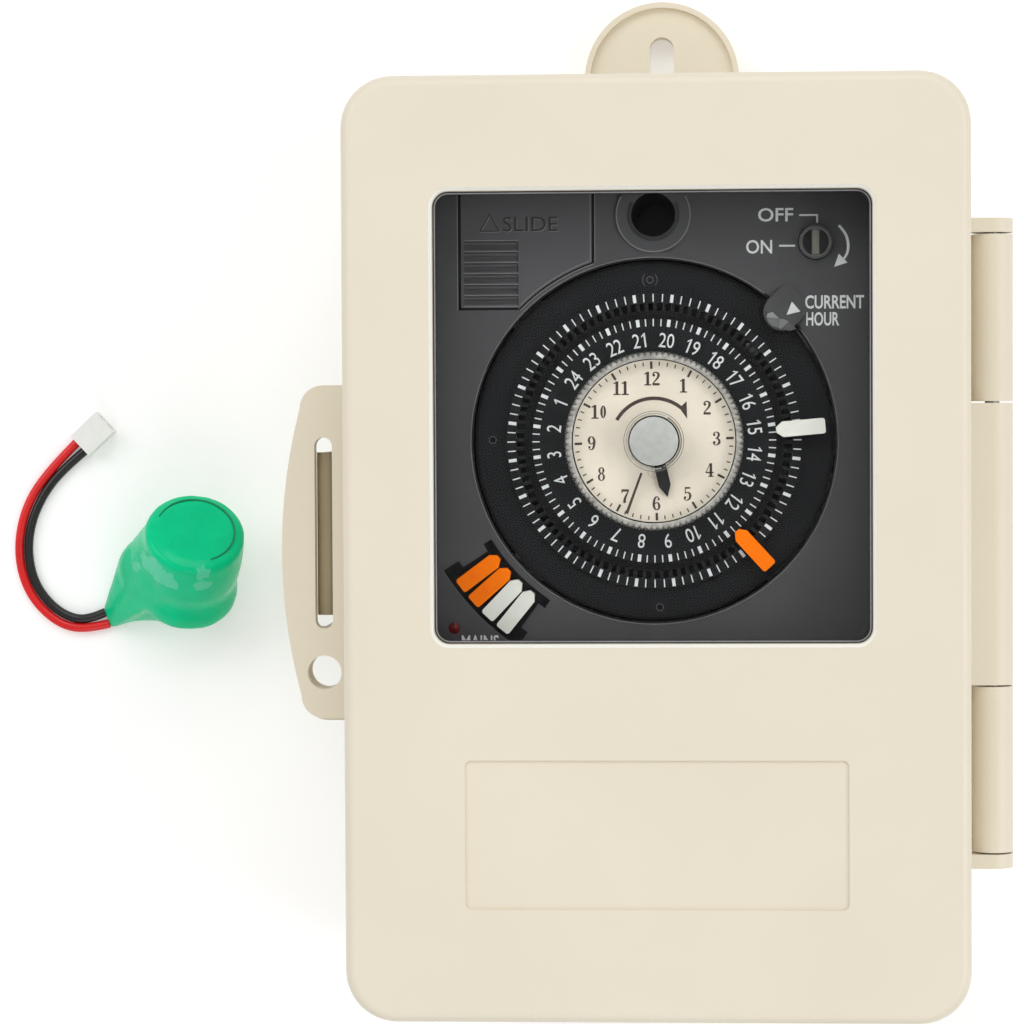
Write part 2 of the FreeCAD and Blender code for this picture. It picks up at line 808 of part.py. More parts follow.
def make_door_parts():
    body = new_body("window_seal")
    sketch = new_sketch(body, "XY_Plane", door_front - wall - seal_thick)
    half_w = window_width / 2
    half_h = window_height / 2
    add_round_rectangle(
        sketch, window_x - half_w - pane_lap, window_y - half_h - pane_lap,
        window_x + half_w + pane_lap, window_y + half_h + pane_lap, window_corner)
    add_round_rectangle(
        sketch, window_x - half_w + seal_show, window_y - half_h + seal_show,
        window_x + half_w - seal_show, window_y + half_h - seal_show, window_corner)
    pad(body, sketch, seal_thick)

    body = new_body("window_pane")
    sketch = new_sketch(body, "XY_Plane", door_front - wall - seal_thick - pane_thick)
    add_round_rectangle(
        sketch, window_x - half_w - pane_lap, window_y - half_h - pane_lap,
        window_x + half_w + pane_lap, window_y + half_h + pane_lap, window_corner)
    pad(body, sketch, pane_thick)

    body = new_body("door_gasket")
    case_ring(body, door_rear, gasket_tall, wall - gasket_wide + running_gap, wall)

    body = new_body("hinge_pin")
    reach = cap_end - cap_closed - running_gap
    along_y(body, -reach, reach, lambda sketch: add_circle(sketch, hinge_x, hinge_z, pin_radius))


def make_latch():
    """A springy arm that rises beside its pivot, so that the ends of the slot stay clear."""
    body = new_body("latch_arm")
    head_z = base_depth - latch_head - free_gap
    foot_z = latch_pivot_z - latch_hub
    outer = slot_x - latch_stem / 2
    along_y(body, latch_low, latch_high,
            lambda sketch: add_circle(sketch, pivot_x, latch_pivot_z, latch_hub))
    along_y(body, latch_low, latch_high,
            lambda sketch: add_rectangle(sketch, outer, foot_z, pivot_x, latch_pivot_z))
    along_y(body, latch_low, latch_high,
            lambda sketch: add_rectangle(sketch, outer, foot_z, outer + latch_stem, head_z))
    along_y(body, latch_low, latch_high,
            lambda sketch: add_circle(sketch, slot_x, head_z, latch_head))
    bore_along_y(body, latch_low, latch_high, pivot_x, latch_pivot_z, latch_pin + running_gap)

    body = new_body("latch_pin")
    along_y(body, slot_bottom - lug_thick, slot_top + lug_thick,
            lambda sketch: add_circle(sketch, pivot_x, latch_pivot_z, latch_pin))


def make_module_case():
    body = new_body("module_case")
    half = module_width / 2
    corner = module_corner
    sketch = new_sketch(body, "XY_Plane", module_rear)
    add_round_rectangle(sketch, -half, module_bottom, half, module_top, corner)
    pad(body, sketch, face_rear - module_rear)
    sketch = new_sketch(body, "XY_Plane", floor_level)
    add_round_rectangle(sketch, module_wall - half, module_bottom + module_wall,
                        half - module_wall, module_top - module_wall, corner - module_wall)
    cut_up(body, sketch, face_rear - floor_level)
    depth = face_rear - floor_level
    columns = [(x, y, screw_column) for x, y in screw_places]
    pad_circles(body, floor_level, depth, columns)
    cut_circles(body, floor_level, depth, [(x, y, screw_well) for x, y in screw_places])
    cut_circles(body, module_rear, module_wall,
                [(x, y, screw_radius + running_gap * 2) for x, y in screw_places])
    well_floor = face_level - cover_thick - well_depth
    pad_circles(body, well_floor - well_wall, face_rear - well_floor + well_wall,
                [(well_x, well_y, well_radius + well_wall)])
    cut_circles(body, well_floor, face_rear - well_floor, [(well_x, well_y, well_radius)])
    pad_circles(body, floor_level, bearing_height, [(dial_x, dial_y, hour_bore + bearing_wall)])
    cut_circles(body, floor_level, bearing_height, [(dial_x, dial_y, hour_bore)])
    posts = [(board_post_x * side, board_y, board_post) for side in (-1, 1)]
    pad_circles(body, floor_level, board_level - floor_level, posts)


def cover_outline(grow, top):
    """Left and right edges, a flat lower edge and the arc that follows the dial."""
    left = dial_x + cover_left - grow
    right = dial_x + cover_right + grow
    bottom = dial_y + cover_bottom - grow
    arc = cover_arc - grow
    turn_x = dial_x - root_of(arc * arc - (cover_bottom - grow) * (cover_bottom - grow))
    turn_y = dial_y + root_of(arc * arc - (cover_right + grow) * (cover_right + grow))
    return [(left, top), (left, bottom), (turn_x, bottom, arc), (right, turn_y), (right, top)]


def polar(radius, angle):
    return (dial_x + radius * cos_of(angle), dial_y + radius * sin_of(angle))


def make_face_plate():
    body = new_body("face_plate")
    half = module_width / 2
    corner = module_corner
    sketch = new_sketch(body, "XY_Plane", face_rear)
    add_round_rectangle(sketch, -half, module_bottom, half, module_top, corner)
    pad(body, sketch, face_thick)
    pad_circles(body, face_level, collar_height, [(dial_x, top_screw_y, screw_collar)])
    cut_circles(body, face_rear, face_thick, [(dial_x, dial_y, dial_opening)])
    cut_circles(body, face_level - opening_rim, opening_rim,
                [(dial_x, dial_y, dial_opening + opening_rim)])
    wells = [(x, y, screw_well) for x, y in screw_places]
    cut_circles(body, face_rear, face_thick + collar_height, wells)
    cut_circles(body, face_rear, face_thick, [
        (dial_x + knob_x, dial_y + knob_y, knob_radius + setter_seat),
        (dial_x + lamp_x, dial_y + lamp_y, lamp_radius + running_gap)])
    cut_outline(body, face_level - cover_thick, cover_thick,
                cover_outline(no_size, module_top + module_wall))
    cut_circles(body, face_rear, face_thick - cover_thick, [(well_x, well_y, well_radius)])

    inner = setter_inner + store_shift - store_margin
    outer = inner + setter_length + store_margin * 2
    start = store_first - store_end
    stop = store_first + store_pitch * (STORED_SETTERS - 1) + store_end
    corners = [polar(inner, start), polar(outer, start), polar(outer, stop), polar(inner, stop)]
    cut_outline(body, face_level - store_depth, store_depth, [
        corners[0], corners[1] + (-outer,), corners[2], corners[3] + (inner,)])
    for angle, side in ((start, -1), (stop, 1)):
        for low, high in ((inner, inner + store_ear_near), (outer - store_ear_far, outer)):
            edge = store_ear * side
            lap = -store_ear * side
            cut_outline(body, face_level - store_depth, store_depth, [
                turned(low, lap, angle), turned(high, lap, angle), turned(high, edge, angle),
                turned(low, edge, angle)])
    for index in range(STORED_SETTERS):
        angle = store_first + store_pitch * index
        near = slot_inner + store_shift
        far = slot_outer + store_shift
        side = slot_wide / 2
        cut_outline(body, face_rear, face_thick - store_depth, [
            turned(near, -side, angle), turned(far, -side, angle), turned(far, side, angle),
            turned(near, side, angle)])


def make_time_index():
    """The pointer over the rim of the dial: a ramp with a round nose that setters pass under."""
    body = new_body("time_index")
    half = index_radius
    beyond = index_end + half
    top = index_crest_top
    pad_outline(body, face_level, top - face_level, [
        (index_centre, -half), (beyond, -half), (beyond, half),
        (index_centre, half, -half * ROUND_END)])
    tip = index_centre - half * 2

    def under(sketch):
        add_rectangle(sketch, tip, face_level, index_foot, index_level)

    def nose(sketch):
        add_outline(sketch, [(tip, index_nose_top), (index_crest, top), (tip, top)])

    def slope(sketch):
        add_outline(sketch, [(index_crest, top), (index_end, face_level), (beyond, face_level),
                             (beyond, top)])
    for draw in (under, nose, slope):
        cut_along_y(body, -half * 2, half * 2, draw)
    place(body, dial_x, dial_y, 0, index_angle)


def turned(along, across, angle):
    """A point given along and across a ray from the dial centre."""
    x = dial_x + along * cos_of(angle) - across * sin_of(angle)
    y = dial_y + along * sin_of(angle) + across * cos_of(angle)
    return (x, y)


def make_battery_cover():
    body = new_body("battery_cover")
    pad_outline(body, face_level - cover_thick, cover_thick,
                cover_outline(-cover_gap, cover_top))
    left = dial_x + cover_left + grip_pitch / 2
    first = dial_y + cover_bottom + grip_pitch / 2
    for index in range(int(grip_count.number)):
        y = first + grip_pitch * index
        sketch = new_sketch(body, "XY_Plane", face_level - grip_depth)
        add_rectangle(sketch, left, y, left + grip_length, y + grip_width)
        cut_up(body, sketch, grip_depth)


arbor_shaft = hour_bore - running_gap
# A tooth in modules: top and root from the pitch circle, half the gap there, the lean of its
# sides and the height to which the gap is cut
TOOTH_TOP = 0.8
TOOTH_ROOT = 1.05
TOOTH_GAP = 0.96
TOOTH_LEAN = 0.36
TOOTH_CUT = 1.4
# Tooth counts: minute wheel and motor pinion 4:1, minute to hour 12:1, hour to dial 2:1
minute_teeth = 48
motor_teeth = 12
cannon_teeth = 12
motion_teeth = 36
motion_pinion_teeth = 10
hour_teeth = 40
hour_pinion_teeth = 15
idler_teeth = 20
idler_pinion_teeth = 14
dial_teeth = 21


def add_gear(body, teeth, module, z, thick):
    """A spur gear about the body's own axis, its teeth cut one by one with a polar pattern.
    A gap is centred on the +X ray."""
    outer = module * (teeth / 2 + TOOTH_TOP)
    root = module * (teeth / 2 - TOOTH_ROOT)
    pitch_half = module * TOOTH_GAP
    root_half = pitch_half - module * TOOTH_ROOT * TOOTH_LEAN
    rim_half = pitch_half + module * TOOTH_CUT * TOOTH_LEAN
    rim = module * (teeth / 2 + TOOTH_CUT)
    pad_circles(body, z, thick, [(0, 0, outer)])
    sketch = new_sketch(body, "XY_Plane", z)
    add_outline(sketch, [(root, -root_half), (rim, -rim_half), (rim, rim_half), (root, root_half)])
    gap = cut_up(body, sketch, thick)
    round_pattern(body, gap, Size(teeth, str(teeth)))


def make_program_dial():
    body = new_body("program_dial")
    add_gear(body, dial_teeth, gear_module, dial_wheel_level, gear_thick)
    step = dial_level - dial_step
    sketch = new_sketch(body, "XZ_Plane", 0)
    hub = tube_outer + running_gap
    add_outline(sketch, [
        (hub, dial_wheel_level + gear_thick), (dial_neck, dial_wheel_level + gear_thick),
        (dial_neck_top, dial_rear), (dial_radius, dial_rear), (dial_radius, step),
        (dial_step_radius, step), (dial_step_radius, dial_level), (hub, dial_level)])
    revolve(body, sketch)
    cut_circles(body, dial_wheel_level, dial_level - dial_wheel_level, [(0, 0, hub)])
    sketch = new_sketch(body, "XY_Plane", dial_rear)
    side = slot_wide / 2
    add_rectangle(sketch, slot_inner, -side, slot_outer, side)
    gap = cut_up(body, sketch, dial_thick)
    round_pattern(body, gap, slot_count)
    place(body, dial_x, dial_y, 0, dial_turn)


# Levels of the wheels, from the rear of the movement to its front
minute_wheel_level = board_level
cannon_level = minute_wheel_level + cannon_step
hour_wheel_level = cannon_level + wheel_step
hour_pinion_level = hour_wheel_level + wheel_step
plate_front = plate_level + plate_thick
dial_wheel_level = plate_front + dial_wheel_step
motion_distance = gear_module * ((cannon_teeth + motion_teeth) / 2)
idler_distance = gear_module * ((hour_pinion_teeth + idler_teeth) / 2)
motor_distance = gear_module * ((minute_teeth + motor_teeth) / 2)
clock_level = dial_level + free_gap
hand_level = clock_level + clock_thick + free_gap
clear_level = hand_level + hand_thick + clear_gap


def make_clock_parts():
    body = new_body("centre_tube")
    sketch = new_sketch(body, "XZ_Plane", 0)
    add_outline(sketch, [
        (tube_inner, plate_front), (tube_flange, plate_front),
        (tube_flange, plate_front + tube_flange_thick),
        (tube_outer, plate_front + tube_flange_thick),
        (tube_outer, clock_level + clock_thick), (tube_inner, clock_level + clock_thick)])
    revolve(body, sketch)
    place(body, dial_x, dial_y)

    body = new_body("clock_face")
    pad_circles(body, clock_level, clock_thick,
                [(0, 0, clock_radius), (0, 0, tube_outer + running_gap / 2)])
    place(body, dial_x, dial_y)

    body = new_body("hour_wheel")
    pad_circles(body, hour_wheel_level, hand_level - hour_wheel_level,
                [(0, 0, tube_inner - running_gap)])
    add_gear(body, hour_pinion_teeth, gear_module, hour_pinion_level, gear_thick)
    add_gear(body, hour_teeth, hour_module, hour_wheel_level, gear_thick)
    cut_circles(body, hour_wheel_level, hand_level - hour_wheel_level, [(0, 0, hour_bore)])
    place(body, dial_x, dial_y, 0, hour_turn)

    body = new_body("hour_hand")
    half = hand_width / 2
    hub = hand_hub
    edge = root_of(hub * hub - half * half)
    pad_outline(body, hand_level, hand_thick, [
        (edge, -half), (hand_length - half * 2, -half), (hand_length, 0),
        (hand_length - half * 2, half), (edge, half, -hub), (-hub, 0, -hub)])
    cut_circles(body, hand_level, hand_thick, [(0, 0, hour_bore)])
    place(body, dial_x, dial_y, 0, hour_angle)

    body = new_body("minute_arbor")
    start = floor_level + arbor_end_gap
    pad_circles(body, start, clear_hub_top - start, [(0, 0, arbor_shaft)])
    add_gear(body, minute_teeth, gear_module, minute_wheel_level, gear_thick)
    add_gear(body, cannon_teeth, gear_module, cannon_level, gear_thick * 1.5)
    place(body, dial_x, dial_y)

    body = new_body("minute_disc")
    rim_low = dial_level + free_gap * 2
    top = clear_level + clear_thick
    rim_inner = clear_radius - clear_rim
    bore = arbor_shaft + running_gap / 2
    sketch = new_sketch(body, "XZ_Plane", 0)
    add_outline(sketch, [
        (bore, clear_level), (rim_inner, clear_level), (rim_inner, rim_low),
        (clear_radius, rim_low), (clear_radius, top), (clear_hub, top),
        (clear_hub, clear_hub_top), (bore, clear_hub_top)])
    revolve(body, sketch)
    sketch = new_sketch(body, "XY_Plane", rim_low)
    add_outline(sketch, [
        (clear_radius - scallop_depth, 0), (clear_radius + scallop_over, -scallop_depth),
        (clear_radius + scallop_over, scallop_depth)])
    gap = cut_up(body, sketch, top - rim_low)
    round_pattern(body, gap, scallop_count)
    place(body, dial_x, dial_y)

    body = new_body("knob_cap")
    sketch = new_sketch(body, "XZ_Plane", 0)
    dome = cap_height - cap_dome
    rise = (cap_radius * cap_radius + cap_dome * cap_dome) / (cap_dome * 2)
    add_outline(sketch, [
        (0, clear_hub_top), (cap_radius, clear_hub_top), (cap_radius, clear_hub_top + dome, -rise),
        (0, clear_hub_top + cap_height)])
    revolve(body, sketch)
    place(body, dial_x, dial_y)


def meshed(direction, teeth_a, turn_a, teeth_b, skip=0):
    """The turn of gear b that puts a tooth of one gear in a gap of the other on their line
    of centres. The direction runs from gear a to gear b; skip moves on by whole teeth."""
    phase = (0.5 - (direction - turn_a) * teeth_a / 360.0) % 1.0
    return direction + 180.0 - (phase + skip) * 360.0 / teeth_b


motor_turn = meshed(180, minute_teeth, 0, motor_teeth)
motion_turn = meshed(-90, cannon_teeth, 0, motion_teeth)
hour_turn = meshed(90, motion_pinion_teeth, motion_turn, hour_teeth, 27)
idler_turn = meshed(90, hour_pinion_teeth, hour_turn, idler_teeth, 14)
dial_turn = meshed(-90, idler_pinion_teeth, idler_turn, dial_teeth, 5)


def make_wheel(name, distance, angle, gears, z_low, z_high):
    """A wheel and pinion on their own arbor, at a distance and angle from the dial centre."""
    body = new_body(name)
    pad_circles(body, z_low, as_size(z_high) - z_low, [(0, 0, arbor_radius)])
    for teeth, module, z, thick in gears:
        add_gear(body, teeth, module, z, thick)
    x = dial_x + distance * cos_of(angle)
    y = dial_y + distance * sin_of(angle)
    return body, x, y


def make_movement():
    body, x, y = make_wheel(
        "motion_wheel", motion_distance, -90,
        [(motion_teeth, gear_module, cannon_level + motion_step, gear_thick),
         (motion_pinion_teeth, hour_module, cannon_level + motion_pinion_step, gear_thick * 1.5)],
        cannon_level, plate_front)
    place(body, x, y, 0, motion_turn)
    body, x, y = make_wheel(
        "dial_idler", idler_distance, 90,
        [(idler_teeth, gear_module, hour_pinion_level, gear_thick),
         (idler_pinion_teeth, gear_module, dial_wheel_level, gear_thick)],
        hour_pinion_level, dial_wheel_level + gear_thick)
    place(body, x, y, 0, idler_turn)
    body, x, y = make_wheel(
        "motor_pinion", motor_distance, 180,
        [(motor_teeth, gear_module, minute_wheel_level - motor_pinion_drop, gear_thick * 1.5)],
        floor_level + motor_height + free_gap, minute_wheel_level + gear_thick + arbor_over)
    place(body, x, y, 0, motor_turn)

    body = new_body("drive_motor")
    x = dial_x - motor_distance
    pad_circles(body, floor_level, motor_height, [(x, dial_y, motor_radius)])

    body = new_body("movement_plate")
    sketch = new_sketch(body, "XY_Plane", plate_level)
    reach = plate_reach
    add_round_rectangle(sketch, dial_x - reach, dial_y - reach,
                        dial_x + lever_x + plate_margin, dial_y + reach, plate_corner)
    add_circle(sketch, dial_x, dial_y, tube_inner)
    for angle, distance in ((-90, motion_distance), (90, idler_distance)):
        add_circle(sketch, dial_x + distance * cos_of(angle), dial_y + distance * sin_of(angle),
                   arbor_radius + running_gap)
    pad(body, sketch, plate_thick)
    pad_circles(body, plate_front, lever_level + lever_thick - plate_front,
                [(dial_x + lever_x, dial_y + lever_y, pin_radius)])

    body = new_body("plate_pillars")
    spread = pillar_spread
    places = []
    for side in (-1, 1):
        for step in (-1, 1):
            places.append((dial_x + spread * side, dial_y + spread * step, pillar_radius))
    pad_circles(body, floor_level, plate_level - floor_level, places)


def make_switch_parts():
    body = new_body("on_off_knob")
    bottom = face_rear - knob_depth
    top = face_level + knob_rise
    pad_circles(body, bottom, top - bottom, [(0, 0, knob_radius)])
    low = cam_level - spindle_drop
    pad_circles(body, low, bottom - low, [(0, 0, spindle_radius)])
    half = knob_bar / 2
    reach = root_of(knob_recess * knob_recess - half * half)
    for side in (1, -1):
        sketch = new_sketch(body, "XY_Plane", top - knob_recess_depth)
        if side > 0:
            add_outline(sketch, [(half, reach), (half, -reach, knob_recess * -1)])
        else:
            add_outline(sketch, [(-half, -reach), (-half, reach, knob_recess * -1)])
        cut_up(body, sketch, knob_recess_depth)
    place(body, dial_x + knob_x, dial_y + knob_y)

    body = new_body("switch_cam")
    sketch = new_sketch(body, "XY_Plane", cam_level)
    corners = []
    for index in range(4):
        tip = 90.0 * index
        valley = tip + 45.0
        corners.append((cam_radius * cos_of(tip), cam_radius * sin_of(tip)))
        corners.append((cam_valley * cos_of(valley), cam_valley * sin_of(valley)))
    add_outline(sketch, corners)
    add_circle(sketch, 0, 0, spindle_radius + running_gap / 2)
    pad(body, sketch, cam_thick)
    place(body, dial_x + knob_x, dial_y + knob_y)

    body = new_body("micro_switch")
    right = module_width / 2 - module_wall
    switch_y = dial_y + knob_y
    z = cam_level + cam_thick / 2 - switch_thick / 2
    sketch = new_sketch(body, "XY_Plane", z)
    add_rectangle(sketch, right - switch_height, switch_y - switch_length / 2, right,
                  switch_y + switch_length / 2)
    for step in (-1, 1):
        add_circle(sketch, right - switch_hole_inset,
                   switch_y + switch_length * switch_hole_spread * step, switch_hole)
    pad(body, sketch, switch_thick)

    body = new_body("switch_button")
    sketch = new_sketch(body, "YZ_Plane", dial_x + knob_x + cam_radius + free_gap)
    add_circle(sketch, switch_y, cam_level + cam_thick / 2, button_radius)
    pad(body, sketch, right - switch_height - (dial_x + knob_x + cam_radius + free_gap))

    body = new_body("trip_lever")
    half = lever_thick / 2
    nose_x = lever_nose * cos_of(lever_angle) - lever_x
    nose_y = lever_nose * sin_of(lever_angle) - lever_y
    end_y = knob_y - lever_y - lever_end_gap
    pad_circles(body, lever_level, lever_thick, [(0, 0, lever_hub)])
    pad_outline(body, lever_level, lever_thick, [
        (nose_x, nose_y - half), (0, -half * 2), (half * 2, 0), (-half, end_y),
        (-half * 3, end_y), (-half * 2, half * 2), (nose_x, nose_y + half)])
    cut_circles(body, lever_level, lever_thick, [(0, 0, pin_radius + running_gap)])
    place(body, dial_x + lever_x, dial_y + lever_y)

    body = new_body("power_lamp")
    x = dial_x + lamp_x
    y = dial_y + lamp_y
    sketch = new_sketch(body, "XZ_Plane", 0)
    board_top = board_level + board_thick
    add_outline(sketch, [
        (0, board_top), (lamp_radius + lamp_rim, board_top),
        (lamp_radius + lamp_rim, board_top + lamp_rim), (lamp_radius, board_top + lamp_rim),
        (lamp_radius, face_level), (0, face_level + lamp_dome)])
    revolve(body, sketch)
    place(body, x, y)


def make_board_and_terminals():
    body = new_body("circuit_board")
    half_tall = board_height / 2
    left = dial_x + lamp_x - lamp_radius - board_margin
    sketch = new_sketch(body, "XY_Plane", board_level)
    add_rectangle(sketch, left, board_y - half_tall, left + board_width, board_y + half_tall)
    pad(body, sketch, board_thick)

    body = new_body("board_parts")
    top = board_level + board_thick
    sketch = new_sketch(body, "XY_Plane", top)
    add_rectangle(sketch, -choke_length / 2, board_y - choke_width / 2, choke_length / 2,
                  board_y + choke_width / 2)
    pad(body, sketch, choke_height)
    pad_circles(body, top, choke_height, [(choke_length, board_y, capacitor_radius)])
    pad_circles(body, top, choke_height / 2, [(-choke_length, board_y, crystal_radius)])

    body = new_body("terminal_block")
    half_long = terminal_pitch * terminal_count / 2 + terminal_margin
    half_deep = terminal_depth / 2
    sketch = new_sketch(body, "XY_Plane", back_wall)
    add_rectangle(sketch, -half_long, terminal_y - half_deep, half_long, terminal_y + half_deep)
    pad(body, sketch, terminal_height)
    top = back_wall + terminal_height
    wells = []
    count = int(terminal_count.number)
    for index in range(count):
        wells.append(terminal_pitch * (index - (count - 1) / 2))
    cut_circles(body, top - terminal_well_depth, terminal_well_depth,
                [(x, terminal_y, terminal_well) for x in wells])
    sketch = new_sketch(body, "XZ_Plane", -terminal_y)
    for x in wells:
        add_rectangle(sketch, x - terminal_well, top - terminal_well_depth - wire_entry,
                      x + terminal_well, top - terminal_well_depth)
    cut_up(body, sketch, half_deep)

    body = new_body("terminal_clamps")
    sketch = new_sketch(body, "XY_Plane", top - terminal_well_depth)
    for x in wells:
        add_rectangle(sketch, x - clamp_half, terminal_y - clamp_half, x + clamp_half,
                      terminal_y + clamp_half)
    pad(body, sketch, clamp_thick)
    body = new_body("terminal_screws")
    level = top - terminal_well_depth + clamp_thick
    pad_circles(body, level, top - terminal_screw_drop - level,
                [(x, terminal_y, terminal_screw) for x in wells])

    body = new_body("module_screws")
    pad_circles(body, floor_level, screw_head_tall, [(x, y, screw_head) for x, y in screw_places])
    reach = screw_length - screw_end_gap
    pad_circles(body, module_rear - reach, reach + module_wall,
                [(x, y, screw_radius) for x, y in screw_places])


def make_setter(name, x, y, z, radius_shift, angle):
    body = new_body(name)
    half = setter_width / 2
    near = setter_inner + radius_shift
    far = near + setter_length
    nose = setter_nose
    c = setter_corner
    pad_outline(body, 0, setter_height, [
        (near, -nose), (near + setter_point, -half), (far - c, -half, -c), (far, c - half),
        (far, half - c, -c), (far - c, half), (near + setter_point, half), (near, nose)])
    foot_in = slot_inner + radius_shift + setter_gap
    foot_out = slot_outer + radius_shift - setter_gap
    side = slot_wide / 2 - setter_gap
    sketch = new_sketch(body, "XY_Plane", -setter_foot)
    add_rectangle(sketch, foot_in, -side, foot_out, side)
    pad(body, sketch, setter_foot)
    place(body, x, y, z, angle)


# Slots of the dial that hold a setter, counted from the slot at the dial's zero
WHITE_PLACE = 1
ORANGE_PLACE = -13


def make_setters():
    """Two setters stand in slots of the dial and four wait in the holder."""
    level = dial_level + setter_seat
    for name, place_index in (
            ("setter_white_on_dial", WHITE_PLACE), ("setter_orange_on_dial", ORANGE_PLACE)):
        angle = dial_turn + place_index * 360.0 / slot_count.number
        make_setter(name, dial_x, dial_y, level, no_size, angle)
    level = face_level - store_depth + setter_seat
    names = ("stored_setter_orange_1", "stored_setter_orange_2", "stored_setter_white_1",
             "stored_setter_white_2")
    for index, name in enumerate(names):
        make_setter(name, dial_x, dial_y, level, store_shift, store_first + store_pitch * index)


def new_feature(name, shape):
    feature = doc.addObject("Part::Feature", name)
    feature.Label = name
    feature.Shape = shape
    nodes.append(feature)
    return feature


def oval(centre, facing, half_long, half_short, roll):
    """A standing ellipse that faces a level direction, rolled about that direction."""
    facing = math.radians(facing)
    roll = math.radians(roll)
    across = FreeCAD.Vector(-math.sin(facing), math.cos(facing), 0)
    up = FreeCAD.Vector(0, 0, 1)
    long_way = up * math.sin(roll) - across * math.cos(roll)
    short_way = up * math.cos(roll) + across * math.sin(roll)
    centre = FreeCAD.Vector(*centre)
    curve = Part.Ellipse(centre + long_way * half_long, centre + short_way * half_short, centre)
    return Part.Wire([curve.toShape()])


CELLS = 3
# Half section of the film, radius and height, as arcs through every second point: a round
# edge, a belly, the waist at the lowest joint, the upper belly and the upper edge
FILM_SIDE = [
    (7.7, 0), (8.75, 0.4), (9.15, 1.5), (9.2, 2.7), (9.05, 4.1), (8.5, 6.4), (9.05, 8.7),
    (9.2, 12.8), (9.1, 17), (8.8, 18.2), (8, 18.6)]
# Sections of the film's tail: centre, facing, half length, half height and roll
TAIL_SECTIONS = [
    ((-103.6, -15.5, 0.9), 200, 2.1, 0.88, 0), ((-100.9, -13.9, 1.85), 206, 2.9, 1.7, 12),
    ((-98.9, -12.2, 3.5), 211.7, 4.7, 3, 26), ((-94.65, -9.4, 7.1), 211.7, 8.9, 6, 33),
    ((-86, -4.6, 12.5), 211.7, 8.1, 8, 33)]


def turned_solid(curve, points):
    """A solid of revolution about Z from a half section: arcs outside, then straight runs."""
    curve = [FreeCAD.Vector(x, 0, z) for x, z in curve]
    points = [FreeCAD.Vector(x, 0, z) for x, z in points]
    edges = [Part.Arc(*curve[index:index + 3]).toShape() for index in range(0, len(curve) - 1, 2)]
    edges += [Part.LineSegment(a, b).toShape() for a, b in zip(points, points[1:])]
    face = Part.Face(Part.Wire(edges))
    return face.revolve(FreeCAD.Vector(0, 0, 0), FreeCAD.Vector(0, 0, 1), 360)


def rounded_path(points, share=0.45):
    """Straight runs joined by tangent arcs, as large as the two runs allow."""
    edges = []
    start = points[0]
    radii = []
    for index in range(1, len(points) - 1):
        before, here, after = points[index - 1:index + 2]
        back = (before - here).normalize()
        ahead = (after - here).normalize()
        turn = math.pi - back.getAngle(ahead)
        run = share * min((before - here).Length, (after - here).Length)
        radii.append(run / math.tan(turn / 2))
        enter = here + back * run
        leave = here + ahead * run
        bisector = (back + ahead).normalize()
        centre = here + bisector * (radii[-1] / math.cos(turn / 2))
        middle = centre - bisector * radii[-1]
        edges.append(Part.LineSegment(start, enter).toShape())
        edges.append(Part.Arc(enter, middle, leave).toShape())
        start = leave
    edges.append(Part.LineSegment(start, points[-1]).toShape())
    return Part.Wire(edges), radii


def make_lead(name, route):
    radius = lead_radius.number
    points = [FreeCAD.Vector(x, y, lead_level.number) for x, y in route]
    path, radii = rounded_path(points)
    direction = (points[1] - points[0]).normalize()
    ring = Part.Wire([Part.Circle(points[0], direction, radius).toShape()])
    tube = path.makePipeShell([ring], True, False)
    expected = math.pi * radius * radius * path.Length
    print("%s: length %.1f, arc radii %s, volume %.1f of %.1f" % (
        name, path.Length, ["%.1f" % r for r in radii], tube.Volume, expected))
    return new_feature(name, tube)


RED_ROUTE = [
    (-103.21, -16.57), (-106.22, -17.67), (-110.4, -17.6), (-114.2, -15.9), (-118.2, -11.8),
    (-120.3, -6.2), (-120.3, 0.2), (-118.3, 6.8), (-114.0, 12.94), (-108.9, 17.70)]
BLACK_ROUTE = [
    (-103.99, -14.43), (-107.0, -15.52), (-110.4, -15.3), (-114.2, -13.1), (-117.2, -8.8),
    (-118.5, -3.4), (-118.0, 2.3), (-115.7, 7.7), (-111.79, 12.01), (-107.4, 16.10)]
PLUG_CENTRE = (-108.15, 16.90)
PLUG_TURN = 43


